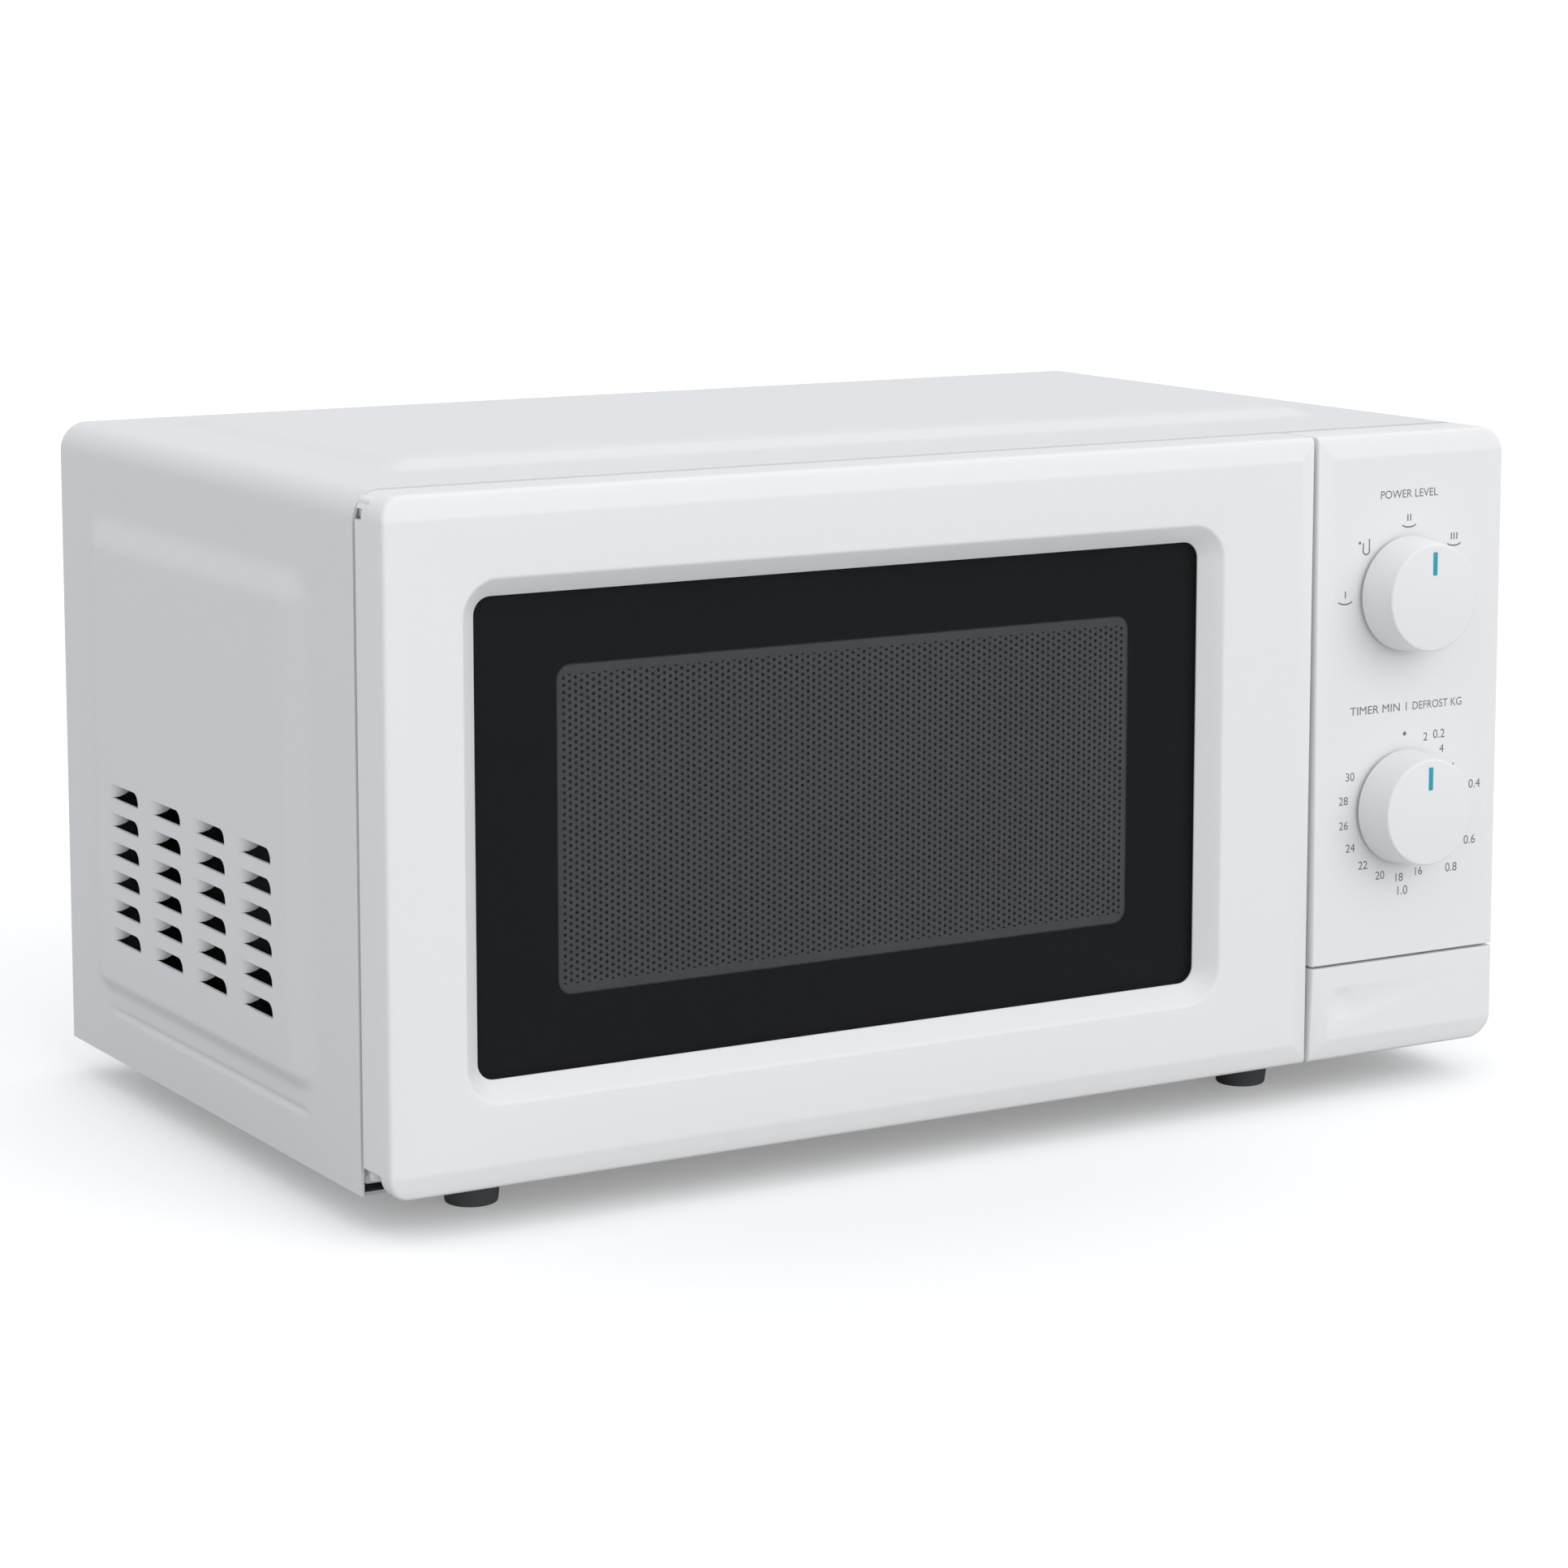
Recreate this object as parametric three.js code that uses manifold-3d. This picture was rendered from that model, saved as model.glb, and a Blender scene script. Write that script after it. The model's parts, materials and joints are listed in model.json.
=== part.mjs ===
// Countertop microwave oven: a wrap-round sheet casing, a steel cavity with a turntable, a hinged glazed
// door and a control strip with two rotary knobs over a push-to-open button. Millimetres, +Z up, the door
// faces -Y, and the origin is the middle of the bounding box at floor level.
import * as THREE from 'three';
import { mergeVertices } from 'three/addons/utils/BufferGeometryUtils.js';
import Module from 'manifold-3d';

const wasm = await Module();
wasm.setup();

// ---- Driving dimensions -------------------------------------------------------------------------
const WIDTH = 446; // across the casing's flat sides
const SIDE_RISE = 3.3; // how far the pressed field stands off each side
const TOP_RISE = 3;
const KNOB_LENGTH = 16.7;
const AIR_GUIDE_DEPTH = 26;
const CASING_REAR = 274; // from the door's front plane to the back edge of the casing
const DEPTH = KNOB_LENGTH + CASING_REAR + AIR_GUIDE_DEPTH;
const BODY_BOTTOM = 12.5; // underside of the base plate, on the feet
const CASING_TOP = 240.8;
const CASING_FRONT = 22.1; // front edge of the casing, behind the door
const CASING_RADIUS = 10;
const SHEET = 1.2;
const GAP = 0.3; // left between pieces that touch

const LEFT = -WIDTH / 2;
const FRONT = KNOB_LENGTH - DEPTH / 2; // the door's front plane
const x = (fromLeft) => LEFT + fromLeft;
const y = (fromFront) => FRONT + fromFront;
const span = (place, low, high) => [place(low), place(high)];

// Door and control strip share one outline, cut by two seams.
const FACE_BOTTOM = 14.7;
const FACE_TOP = 240.5;
const FACE_RADIUS = 8;
const FACE_BEVEL_HEIGHT = 8;
const FACE_BEVEL_DEPTH = 2;
const FACE_DEPTH = 20.5;
const FACE_WALL = 2.4;
const DOOR_RIGHT = 362;
const PANEL_LEFT = 363.5;
const BUTTON_TOP = 49.2;
const PANEL_BOTTOM = 50;
const SKIRT_BOTTOM = 22; // the door's side walls stop here to clear the lower hinge

// Door window, outer edge of its bevelled reveal and the opening behind it.
const REVEAL = { left: 27.3, right: 322.5, bottom: 42.5, top: 212.6 };
const WINDOW = { left: 34.3, right: 315.5, bottom: 49.2, top: 206.2, radius: 6, depth: 7.1 };
const SCREEN = { left: 65.8, right: 289.1, bottom: 73, top: 181.6 };
const GLASS_THICKNESS = 3;
const GLASS_LIP = 4;

// Cavity, measured inside.
const CAVITY = { left: 27, right: 323, bottom: 33, top: 219, front: 24.8, rear: 262 };
const MOUTH = { left: 30, right: 320, bottom: 36, top: 216, radius: 2 };
const FRONT_PLATE = 23.3; // front face of the plate that the cavity is welded to

// Moving parts.
const HINGE = { x: 3.8, y: 18, pin: 1.5, clearance: 0.3 };
const KNOB = { x: 402.3, upper: 182.9, lower: 105.5, base: 20.7, face: 19.3, wall: 2, skin: 2.6, boss: 6,
  shaft: 3 };
// The blue insert, measured up from the knob's centre.
const POINTER = { half: 0.9, low: 8.1, high: 16.3, depth: 1 };
const TURNTABLE = { x: 175, y: 143.5, radius: 112, bottom: 46.6 };
const ROLLER = { radius: 6.5, bore: 1.9, ring: 94.5, width: 7, axle: 1.6 };
const RING = { inner: 84, outer: 89, half: 2.5 };
const TURNTABLE_MOTOR = { radius: 24, ear: 33, earHalf: 5, earBottom: 28.5, relief: 4.2 };
const FAN = { x: 383, z: 130, radius: 46, y: 250 };
const LEVER = { x: 366, y: 40, z: 60, arm: 25, pivot: 1.8 };

// ---- Solids -------------------------------------------------------------------------------------
function solid(geometry) {
  const bare = geometry.clone();
  bare.deleteAttribute('normal');
  bare.deleteAttribute('uv');
  const merged = mergeVertices(bare, 1e-4);
  const vertProperties = merged.attributes.position.array;
  const triVerts = new Uint32Array(merged.index.array);
  return new wasm.Manifold(new wasm.Mesh({ numProp: 3, vertProperties, triVerts }));
}

const join = (...solids) => solids.reduce((whole, next) => whole.add(next));
const cut = (body, ...tools) => tools.reduce((rest, tool) => rest.subtract(tool), body);

function geometryOf(body) {
  const { vertProperties, triVerts } = body.getMesh();
  const geometry = new THREE.BufferGeometry();
  geometry.setAttribute('position', new THREE.BufferAttribute(vertProperties, 3));
  geometry.setIndex(new THREE.BufferAttribute(triVerts, 1));
  geometry.computeVertexNormals();
  return geometry;
}

// A box between two places on each axis.
function box([x0, x1], [y0, y1], [z0, z1]) {
  const geometry = new THREE.BoxGeometry(x1 - x0, y1 - y0, z1 - z0);
  return solid(geometry.translate((x0 + x1) / 2, (y0 + y1) / 2, (z0 + z1) / 2));
}

// A rectangle whose upper and lower corners, or left and right ones, have radii of their own.
function panel([u0, u1], [v0, v1], [lowLeft, lowRight, highRight, highLeft]) {
  const shape = new THREE.Shape();
  const corner = (u, v, radius, from) => {
    if (radius) shape.absarc(u, v, radius, from, from + Math.PI / 2);
    else shape.lineTo(u, v);
  };
  shape.moveTo(u0 + lowLeft, v0);
  corner(u1 - lowRight, v0 + lowRight, lowRight, -Math.PI / 2);
  corner(u1 - highRight, v1 - highRight, highRight, 0);
  corner(u0 + highLeft, v1 - highLeft, highLeft, Math.PI / 2);
  corner(u0 + lowLeft, v0 + lowLeft, lowLeft, Math.PI);
  return shape;
}

const rounded = (us, vs, radius) => panel(us, vs, [radius, radius, radius, radius]);

// Prisms: a shape drawn in the other two axes, in their X, Y, Z order, pushed along one axis.
const AXIS_TURN = {
  x: new THREE.Matrix4().makeBasis(
    new THREE.Vector3(0, 1, 0), new THREE.Vector3(0, 0, 1), new THREE.Vector3(1, 0, 0)),
  y: new THREE.Matrix4().makeBasis(
    new THREE.Vector3(1, 0, 0), new THREE.Vector3(0, 0, 1), new THREE.Vector3(0, -1, 0)),
  z: new THREE.Matrix4(),
};

function prism(axis, shape, [from, to], options = {}) {
  const settings = { depth: to - from, bevelEnabled: false, curveSegments: 5, ...options };
  const geometry = new THREE.ExtrudeGeometry(shape, settings).applyMatrix4(AXIS_TURN[axis]);
  const shift = { x: [from, 0, 0], y: [0, to, 0], z: [0, 0, from] }[axis];
  return solid(geometry.translate(...shift));
}

// A cylinder about an axis through a point, between two places along that axis.
function rod(axis, radius, [a, b], [u, v], segments = 24, endRadius = radius) {
  const geometry = new THREE.CylinderGeometry(endRadius, radius, b - a, segments);
  const middle = (a + b) / 2;
  if (axis === 'x') geometry.rotateZ(-Math.PI / 2).translate(middle, u, v);
  if (axis === 'y') geometry.translate(u, middle, v);
  if (axis === 'z') geometry.rotateX(Math.PI / 2).translate(u, v, middle);
  return solid(geometry);
}

// A profile of [radius, height] points, from the bottom up, turned about a vertical axis.
function turned(points, [u, v], segments = 36) {
  const profile = points.map(([radius, height]) => new THREE.Vector2(radius, height));
  const geometry = new THREE.LatheGeometry(profile, segments);
  return solid(geometry.rotateX(Math.PI / 2).translate(u, v, 0));
}

// A coil spring of round wire, its axis through `start` along `axis`.
function coil(axis, start, length, radius, wire, turns) {
  class Helix extends THREE.Curve {
    getPoint(t, target = new THREE.Vector3()) {
      const angle = turns * 2 * Math.PI * t;
      const [a, b] = [radius * Math.cos(angle), radius * Math.sin(angle)];
      if (axis === 'y') return target.set(start[0] + a, start[1] + length * t, start[2] + b);
      return target.set(start[0] + a, start[1] + b, start[2] + length * t);
    }
  }
  const section = new THREE.Shape().absarc(0, 0, wire, 0, 2 * Math.PI);
  const options = { steps: turns * 8, curveSegments: 3, bevelEnabled: false, extrudePath: new Helix() };
  return solid(new THREE.ExtrudeGeometry(section, options));
}

// ---- Group and finishes -------------------------------------------------------------------------
const oven = new THREE.Group();
oven.name = 'microwave_oven';

function add(name, body, [color, roughness, metalness]) {
  const material = new THREE.MeshStandardMaterial({ color, roughness, metalness });
  const mesh = new THREE.Mesh(geometryOf(body), material);
  mesh.name = name;
  oven.add(mesh);
}

const WHITE_PLASTIC = [0xe9ebec, 0.35, 0];
const WHITE_STEEL = [0xdcdee0, 0.4, 0.1];
const CAVITY_ENAMEL = [0xb9bcbd, 0.45, 0.2];
const ZINC = [0xa9adb0, 0.45, 0.8];
const BLACK_GLASS = [0x1f2123, 0.08, 0];
const DARK_STEEL = [0x3a3c3e, 0.5, 0.4];
const CLEAR = [0xe6eef0, 0.1, 0];
const BLUE = [0x2aa6c0, 0.4, 0];
const BLACK_PLASTIC = [0x1c1c1e, 0.5, 0];
const GREY_RUBBER = [0x6d7072, 0.8, 0];
const COPPER = [0xb06a3a, 0.4, 0.9];
const MICA = [0xcbbd9a, 0.7, 0];

// ---- Casing, base and back ----------------------------------------------------------------------
const FIELD_SIDE = { front: 72.5, rear: 233, bottom: 44, top: 199, skirt: 14, radius: 8 };
const FIELD_TOP = { left: 44, right: WIDTH - 44, front: 75, rear: 236, skirt: 14, radius: 8 };
const LOUVRE = { columns: 4, rows: 6, rear: 225.5, bottom: 58.6, width: 27.5, height: 5.3, radius: 4 };
const LOUVRE_PITCH = { y: 38.4, z: 10.4 };

// A pressed field: a low plateau with sloping rounded sides, `rise` high, drawn flat and facing +Z.
function field([u0, u1], [v0, v1], radius, skirt, rise) {
  const options = { depth: 1, bevelThickness: rise, bevelSize: skirt, bevelSegments: 1, curveSegments: 4 };
  const geometry = new THREE.ExtrudeGeometry(rounded([u0, u1], [v0, v1], radius), options);
  return geometry.translate(0, 0, -1);
}

function sideField(side, inset) {
  const { front, rear, bottom, top, radius, skirt } = FIELD_SIDE;
  const geometry = field(span(y, front, rear), [bottom, top], radius, skirt, SIDE_RISE);
  geometry.applyMatrix4(AXIS_TURN.x).translate(WIDTH / 2 - inset, 0, 0);
  if (side < 0) geometry.rotateZ(Math.PI).translate(0, y(front) + y(rear), 0);
  return solid(geometry);
}

function topField(inset) {
  const { left, right, front, rear, radius, skirt } = FIELD_TOP;
  return solid(field(span(x, left, right), span(y, front, rear), radius, skirt, TOP_RISE)
    .translate(0, 0, CASING_TOP - inset));
}

// One louvre slot, with its upper front corner rounded.
function slot(side, column, row) {
  const rear = LOUVRE.rear - column * LOUVRE_PITCH.y;
  const bottom = LOUVRE.bottom + row * LOUVRE_PITCH.z;
  const shape = panel(span(y, rear - LOUVRE.width, rear), [bottom, bottom + LOUVRE.height],
    [0, 0, 0, LOUVRE.radius]);
  const across = WIDTH / 2 + 2 * SIDE_RISE;
  const xs = side < 0 ? [-across, LEFT + 2 * SHEET] : [-LEFT - 2 * SHEET, across];
  return prism('x', shape, xs, { curveSegments: 2 });
}

function buildCasing() {
  const ys = span(y, CASING_FRONT, CASING_REAR);
  const arch = (inset, low) => panel(
    [LEFT + inset, -LEFT - inset], [low, CASING_TOP - inset],
    [0, 0, CASING_RADIUS - inset, CASING_RADIUS - inset]);
  const outside = join(prism('y', arch(0, BODY_BOTTOM), ys), sideField(-1, 0), sideField(1, 0),
    topField(0));
  const beyond = [ys[0] - 1, ys[1] + 1];
  const inside = join(
    prism('y', arch(SHEET, BODY_BOTTOM - 1), beyond), sideField(-1, SHEET), sideField(1, SHEET),
      topField(SHEET));
  const slots = [];
  for (let row = 0; row < LOUVRE.rows; row++) {
    for (let column = 0; column < LOUVRE.columns; column++) slots.push(slot(-1, column, row));
    slots.push(slot(1, 1, row));
    slots.push(slot(1, 2, row));
  }
  add('outer_casing', cut(outside, inside, ...slots), WHITE_STEEL);
}

const INSIDE = SHEET + GAP; // from the casing's outer face to what fits in it
const FEET = [[48, 40], [362, 40], [48, 250], [398, 250]];
const BASE_VENTS = { left: 350, right: 420, front: 178, width: 3, pitch: 8, count: 6 };

function buildBase() {
  const { left, right, front, width, pitch, count } = BASE_VENTS;
  const vents = [];
  for (let i = 0; i < count; i++) {
    const start = front + i * pitch;
    vents.push(box(span(x, left, right), span(y, start, start + width),
      [BODY_BOTTOM - 1, BODY_BOTTOM + 3]));
  }
  const plate = box([LEFT + INSIDE, -LEFT - INSIDE], span(y, CASING_FRONT + GAP, 271),
    [BODY_BOTTOM, BODY_BOTTOM + SHEET]);
  add('base_plate', cut(plate, ...vents), ZINC);
  FEET.forEach(([fx, fy], i) => {
    const points = [[0, 0], [8.5, 0], [9.5, 1], [10.5, BODY_BOTTOM - GAP], [0, BODY_BOTTOM - GAP]];
    add('foot_' + (i + 1), turned(points, [x(fx), y(fy)], 24), GREY_RUBBER);
  });
}

const BACK_Y = 271.3; // inner face of the back panel
const GLAND = { x: 300, z: 40, radius: 8, flange: 3, bore: 3.6 };
const AIR_GUIDE = { left: 318, right: 432, bottom: 60, top: 200, wall: 1.6, radius: 8 };
const AIR_SLOTS = { inset: 12, start: 15, height: 6, pitch: 13, count: 9 };
const SCREWS = [[12, 24], [434, 24], [14, 228], [432, 228]];
const SCREW = { head: 3.6, headHeight: 2, shank: 1.8, hole: 2.1 };

function buildBack() {
  const arch = panel(
    [LEFT + INSIDE, -LEFT - INSIDE], [BODY_BOTTOM + SHEET + GAP, CASING_TOP - INSIDE],
    [0, 0, CASING_RADIUS - INSIDE, CASING_RADIUS - INSIDE]);
  const ys = span(y, BACK_Y, BACK_Y + SHEET);
  const beyond = [ys[0] - 1, ys[1] + 1];
  const intake = rod('y', FAN.radius - 4, beyond, [x(FAN.x), FAN.z], 20);
  const glandHole = rod('y', GLAND.radius + GAP, beyond, [x(GLAND.x), GLAND.z], 16);
  const screwHoles = SCREWS.map(([sx, sz]) => rod('y', SCREW.hole, beyond, [x(sx), sz], 12));
  add('rear_panel', cut(prism('y', arch, ys), intake, glandHole, ...screwHoles), ZINC);

  SCREWS.forEach(([sx, sz], i) => {
    const head = rod('y', SCREW.head, [ys[1] + GAP, ys[1] + GAP + SCREW.headHeight], [x(sx), sz], 12);
    const shank = rod('y', SCREW.shank, [ys[0] - 5, ys[1] + 1], [x(sx), sz], 12);
    add('rear_screw_' + (i + 1), join(head, shank), ZINC);
  });

  const { left, right, bottom, top, wall, radius } = AIR_GUIDE;
  const rear = CASING_REAR + AIR_GUIDE_DEPTH;
  const outer = prism('y', rounded(span(x, left, right), [bottom, top], radius), [ys[1] + GAP, y(rear)]);
  const inner = prism('y',
    rounded(span(x, left + wall, right - wall), [bottom + wall, top - wall], radius - wall),
    [ys[1] - 1, y(rear - wall)]);
  const slots = [];
  const { inset, start, height, pitch, count } = AIR_SLOTS;
  for (let i = 0; i < count; i++) {
    const z = bottom + start + i * pitch;
    slots.push(box(span(x, left + inset, right - inset), span(y, rear - 5, rear + 1), [z, z + height]));
  }
  add('rear_air_guide', cut(outer, inner, ...slots), GREY_RUBBER);

  const flange = rod('y', GLAND.radius + GLAND.flange, [ys[1] + GAP, ys[1] + GAP + GLAND.flange],
    [x(GLAND.x), GLAND.z], 20);
  const neck = rod('y', GLAND.radius, [ys[0] - 5, ys[1] + 1], [x(GLAND.x), GLAND.z], 20);
  const bore = rod('y', GLAND.bore, [ys[0] - 6, ys[1] + 6], [x(GLAND.x), GLAND.z], 16);
  add('cord_gland', cut(join(flange, neck), bore), BLACK_PLASTIC);
}

// ---- Cavity, front plate and turntable ----------------------------------------------------------
const HOOKS = [70, 190]; // heights of the two latch hooks
const HOOK_X = [350, 354];
const LEVER_SLOT = { left: 363, right: 369, bottom: 30, top: 40 };
const DRIVE_HOLE = 8; // radius, for the turntable motor's spindle
const WAVE_HOLE = { front: 105, rear: 155, bottom: 110, top: 150 };
const LAMP = { x: 346, y: 205, z: 185, hole: 12 };
const PLATE = { left: 2, right: WIDTH - 2, bottom: 16, top: 238.5, radius: 7 };
const WAVE_COVER = { front: 98, rear: 162, bottom: 103, top: 157, radius: 4, thickness: 0.5 };

function buildCavity() {
  const { left, right, bottom, top, front, rear } = CAVITY;
  const outer = box(span(x, left - SHEET, right + SHEET), span(y, front, rear + SHEET),
    [bottom - SHEET, top + SHEET]);
  const inner = box(span(x, left, right), span(y, front - 1, rear), [bottom, top]);
  const driveHole = rod('z', DRIVE_HOLE, [bottom - 3, bottom + 1], [x(TURNTABLE.x), y(TURNTABLE.y)], 20);
  const wallXs = span(x, right - 1, right + 3);
  const waveHole = box(wallXs, span(y, WAVE_HOLE.front, WAVE_HOLE.rear), [WAVE_HOLE.bottom, WAVE_HOLE.top]);
  const lampHole = rod('x', LAMP.hole, wallXs, [y(LAMP.y), LAMP.z], 16);
  add('cavity', cut(outer, inner, driveHole, waveHole, lampHole), CAVITY_ENAMEL);

  const outline = panel(span(x, PLATE.left, PLATE.right), [PLATE.bottom, PLATE.top],
    [0, 0, PLATE.radius, PLATE.radius]);
  const plate = prism('y', outline, span(y, FRONT_PLATE, FRONT_PLATE + SHEET));
  const ys = span(y, FRONT_PLATE - 1, FRONT_PLATE + 3);
  const mouth = prism('y',
    rounded(span(x, MOUTH.left, MOUTH.right), [MOUTH.bottom, MOUTH.top], MOUTH.radius), ys);
  const hookSlots = HOOKS.map((z) => box(span(x, HOOK_X[0] - 2, HOOK_X[1] + 2), ys, [z - 6, z + 10]));
  const shaftHoles = [KNOB.upper, KNOB.lower].map((z) => rod('y', 5, ys, [x(KNOB.x), z], 16));
  const leverSlot = box(span(x, LEVER_SLOT.left, LEVER_SLOT.right), ys,
    [LEVER_SLOT.bottom, LEVER_SLOT.top]);
  add('front_plate', cut(plate, mouth, ...hookSlots, ...shaftHoles, leverSlot), WHITE_STEEL);

  const { front: coverFront, rear: coverRear, radius, thickness } = WAVE_COVER;
  const cover = rounded(span(y, coverFront, coverRear), [WAVE_COVER.bottom, WAVE_COVER.top], radius);
  add('waveguide_cover', prism('x', cover, span(x, right - GAP - thickness, right - GAP)), MICA);
}

function buildTurntable() {
  const centre = [x(TURNTABLE.x), y(TURNTABLE.y)];
  const [low, r] = [TURNTABLE.bottom, TURNTABLE.radius];
  const tray = [[0, low], [r - 14, low], [r - 3, low + 4], [r, low + 10], [r - 2, low + 10],
    [r - 5, low + 6.5],
    [r - 15, low + 4], [0, low + 4]];
  add('turntable_tray', turned(tray, centre, 40), CLEAR);

  const hub = [[0, CAVITY.bottom - 2.5], [3.5, CAVITY.bottom - 2.5], [3.5, 36], [13, 36], [12, low - GAP],
    [0, low - GAP]];
  add('turntable_coupler', turned(hub, centre, 18), WHITE_PLASTIC);

  const axle = CAVITY.bottom + GAP + ROLLER.radius;
  const [ringBottom, ringTop] = [axle - RING.half, axle + RING.half];
  const ring = [[RING.inner, ringBottom], [RING.outer, ringBottom], [RING.outer, ringTop],
    [RING.inner, ringTop], [RING.inner, ringBottom]];
  const pieces = [turned(ring, centre, 36)];
  for (let i = 0; i < 3; i++) {
    const angle = (i * 2 * Math.PI) / 3;
    const place = (body) => body.rotate([0, 0, THREE.MathUtils.radToDeg(angle)]).translate([...centre,
      axle]);
    pieces.push(place(rod('x', ROLLER.axle, [RING.inner + 2, ROLLER.ring + 6], [0, 0], 12)));
    const [from, to] = [ROLLER.ring - ROLLER.width / 2, ROLLER.ring + ROLLER.width / 2];
    const wheel = cut(rod('x', ROLLER.radius, [from, to], [0, 0], 24),
      rod('x', ROLLER.bore, [from - 1, to + 1], [0, 0], 12));
    add('roller_' + (i + 1), place(wheel), WHITE_PLASTIC);
  }
  add('roller_ring', join(...pieces), WHITE_PLASTIC);

  const { radius, ear, earHalf, earBottom, relief } = TURNTABLE_MOTOR;
  const can = rod('z', radius, [BODY_BOTTOM + SHEET + 1, CAVITY.bottom - SHEET - 1.5], centre, 30);
  const ears = box([centre[0] - ear, centre[0] + ear], [centre[1] - earHalf, centre[1] + earHalf],
    [earBottom, earBottom + SHEET]);
  const recess = rod('z', relief, [28, 32], centre, 16);
  add('turntable_motor', cut(join(can, ears), recess), ZINC);
}

// ---- Door ---------------------------------------------------------------------------------------
// The sloping cuts along the top and bottom of the front face, over a width of the face.
function faceBevels(xs) {
  const slope = (edge, direction) => {
    const shape = new THREE.Shape();
    shape.moveTo(FRONT - 1, edge - direction * FACE_BEVEL_HEIGHT);
    shape.lineTo(FRONT, edge - direction * FACE_BEVEL_HEIGHT);
    shape.lineTo(FRONT + FACE_BEVEL_DEPTH, edge);
    shape.lineTo(FRONT + FACE_BEVEL_DEPTH, edge + direction);
    shape.lineTo(FRONT - 1, edge + direction);
    return prism('x', shape, xs);
  };
  return [slope(FACE_TOP, 1), slope(FACE_BOTTOM, -1)];
}

// A funnel-shaped cut from the reveal's outer edge in to the window opening. The extrusion's bevel, kept
// within the slab, makes the funnel, and a straight prism carries the opening through.
function windowCut() {
  const { left, right, bottom, top, radius, depth } = WINDOW;
  const widen = (REVEAL.right - REVEAL.left - right + left) / 4;
  const shape = rounded(span(x, left, right), [bottom, top], radius);
  const options = { depth: 10, bevelThickness: depth, bevelSize: 2 * widen, bevelSegments: 1,
    curveSegments: 5 };
  const geometry = new THREE.ExtrudeGeometry(shape, options);
  const funnel = solid(geometry.applyMatrix4(AXIS_TURN.y).translate(0, FRONT, 0));
  const keep = box(span(x, 0, DOOR_RIGHT), span(y, 0, depth + 1), [FACE_BOTTOM, FACE_TOP]);
  const through = prism('y', shape, span(y, -1, depth + 1));
  return join(funnel.intersect(keep), through);
}

const LATCH = { left: 345, right: 357, front: 9.5, rear: 15, beyond: 8, hookEnd: 34, barb: 6 };
const SPRING = { radius: 3.2, wire: 0.6, turns: 4 };
const LATCH_SPRING = { x: 351, y: 13.5, length: 22 };
const HINGE_BOSS = { left: 1, right: 8, front: 12, bottom: 235.4 };
const ARM_SWEEP = { front: 15.6, bottom: 231.8 }; // cleared in the door's side for the upper hinge arm

function buildDoorFrame() {
  const corners = [FACE_RADIUS, 0, 0, FACE_RADIUS];
  const slab = prism('y', panel(span(x, 0, DOOR_RIGHT), [FACE_BOTTOM, FACE_TOP], corners),
    span(y, 0, WINDOW.depth));
  const skirtYs = span(y, WINDOW.depth - 1, FACE_DEPTH);
  const skirt = cut(
    prism('y', panel(span(x, 0, DOOR_RIGHT), [SKIRT_BOTTOM, FACE_TOP], [0, 0, 0, FACE_RADIUS]), skirtYs),
    prism('y', panel(span(x, FACE_WALL, DOOR_RIGHT - FACE_WALL),
      [SKIRT_BOTTOM + FACE_WALL, FACE_TOP - FACE_WALL],
      [0, 0, 0, FACE_RADIUS - FACE_WALL]), span(y, 0, FACE_DEPTH + 1)));
  const boss = box(span(x, HINGE_BOSS.left, HINGE_BOSS.right), span(y, HINGE_BOSS.front, FACE_DEPTH),
    [HINGE_BOSS.bottom, FACE_TOP - 1]);
  const pinHole = rod('z', HINGE.pin + HINGE.clearance, [FACE_BOTTOM, FACE_TOP - 1.2],
    [x(HINGE.x), y(HINGE.y)], 16);
  const armSweep = box(span(x, -1, FACE_WALL + 1), span(y, ARM_SWEEP.front, FACE_DEPTH + 1),
    [ARM_SWEEP.bottom, HINGE_BOSS.bottom]);
  const whole = cut(join(slab, skirt, boss), windowCut(), ...faceBevels(span(x, -1, DOOR_RIGHT + 1)),
    pinHole, armSweep);
  add('door_frame', whole, WHITE_PLASTIC);
}

const SCREEN_PAN = { left: 11, right: 342, bottom: 30, top: 231, rear: 18.8, radius: 4 };
const CHOKE_COVER = { left: 9, right: 343.5, bottom: 28, top: 233, front: 19.2, radius: 5 };
const FILM = { border: 9, thickness: 0.6, radius: 4 };
const LOOK_BORDER = 6; // how far the choke cover's opening clears the see-through field

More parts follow.
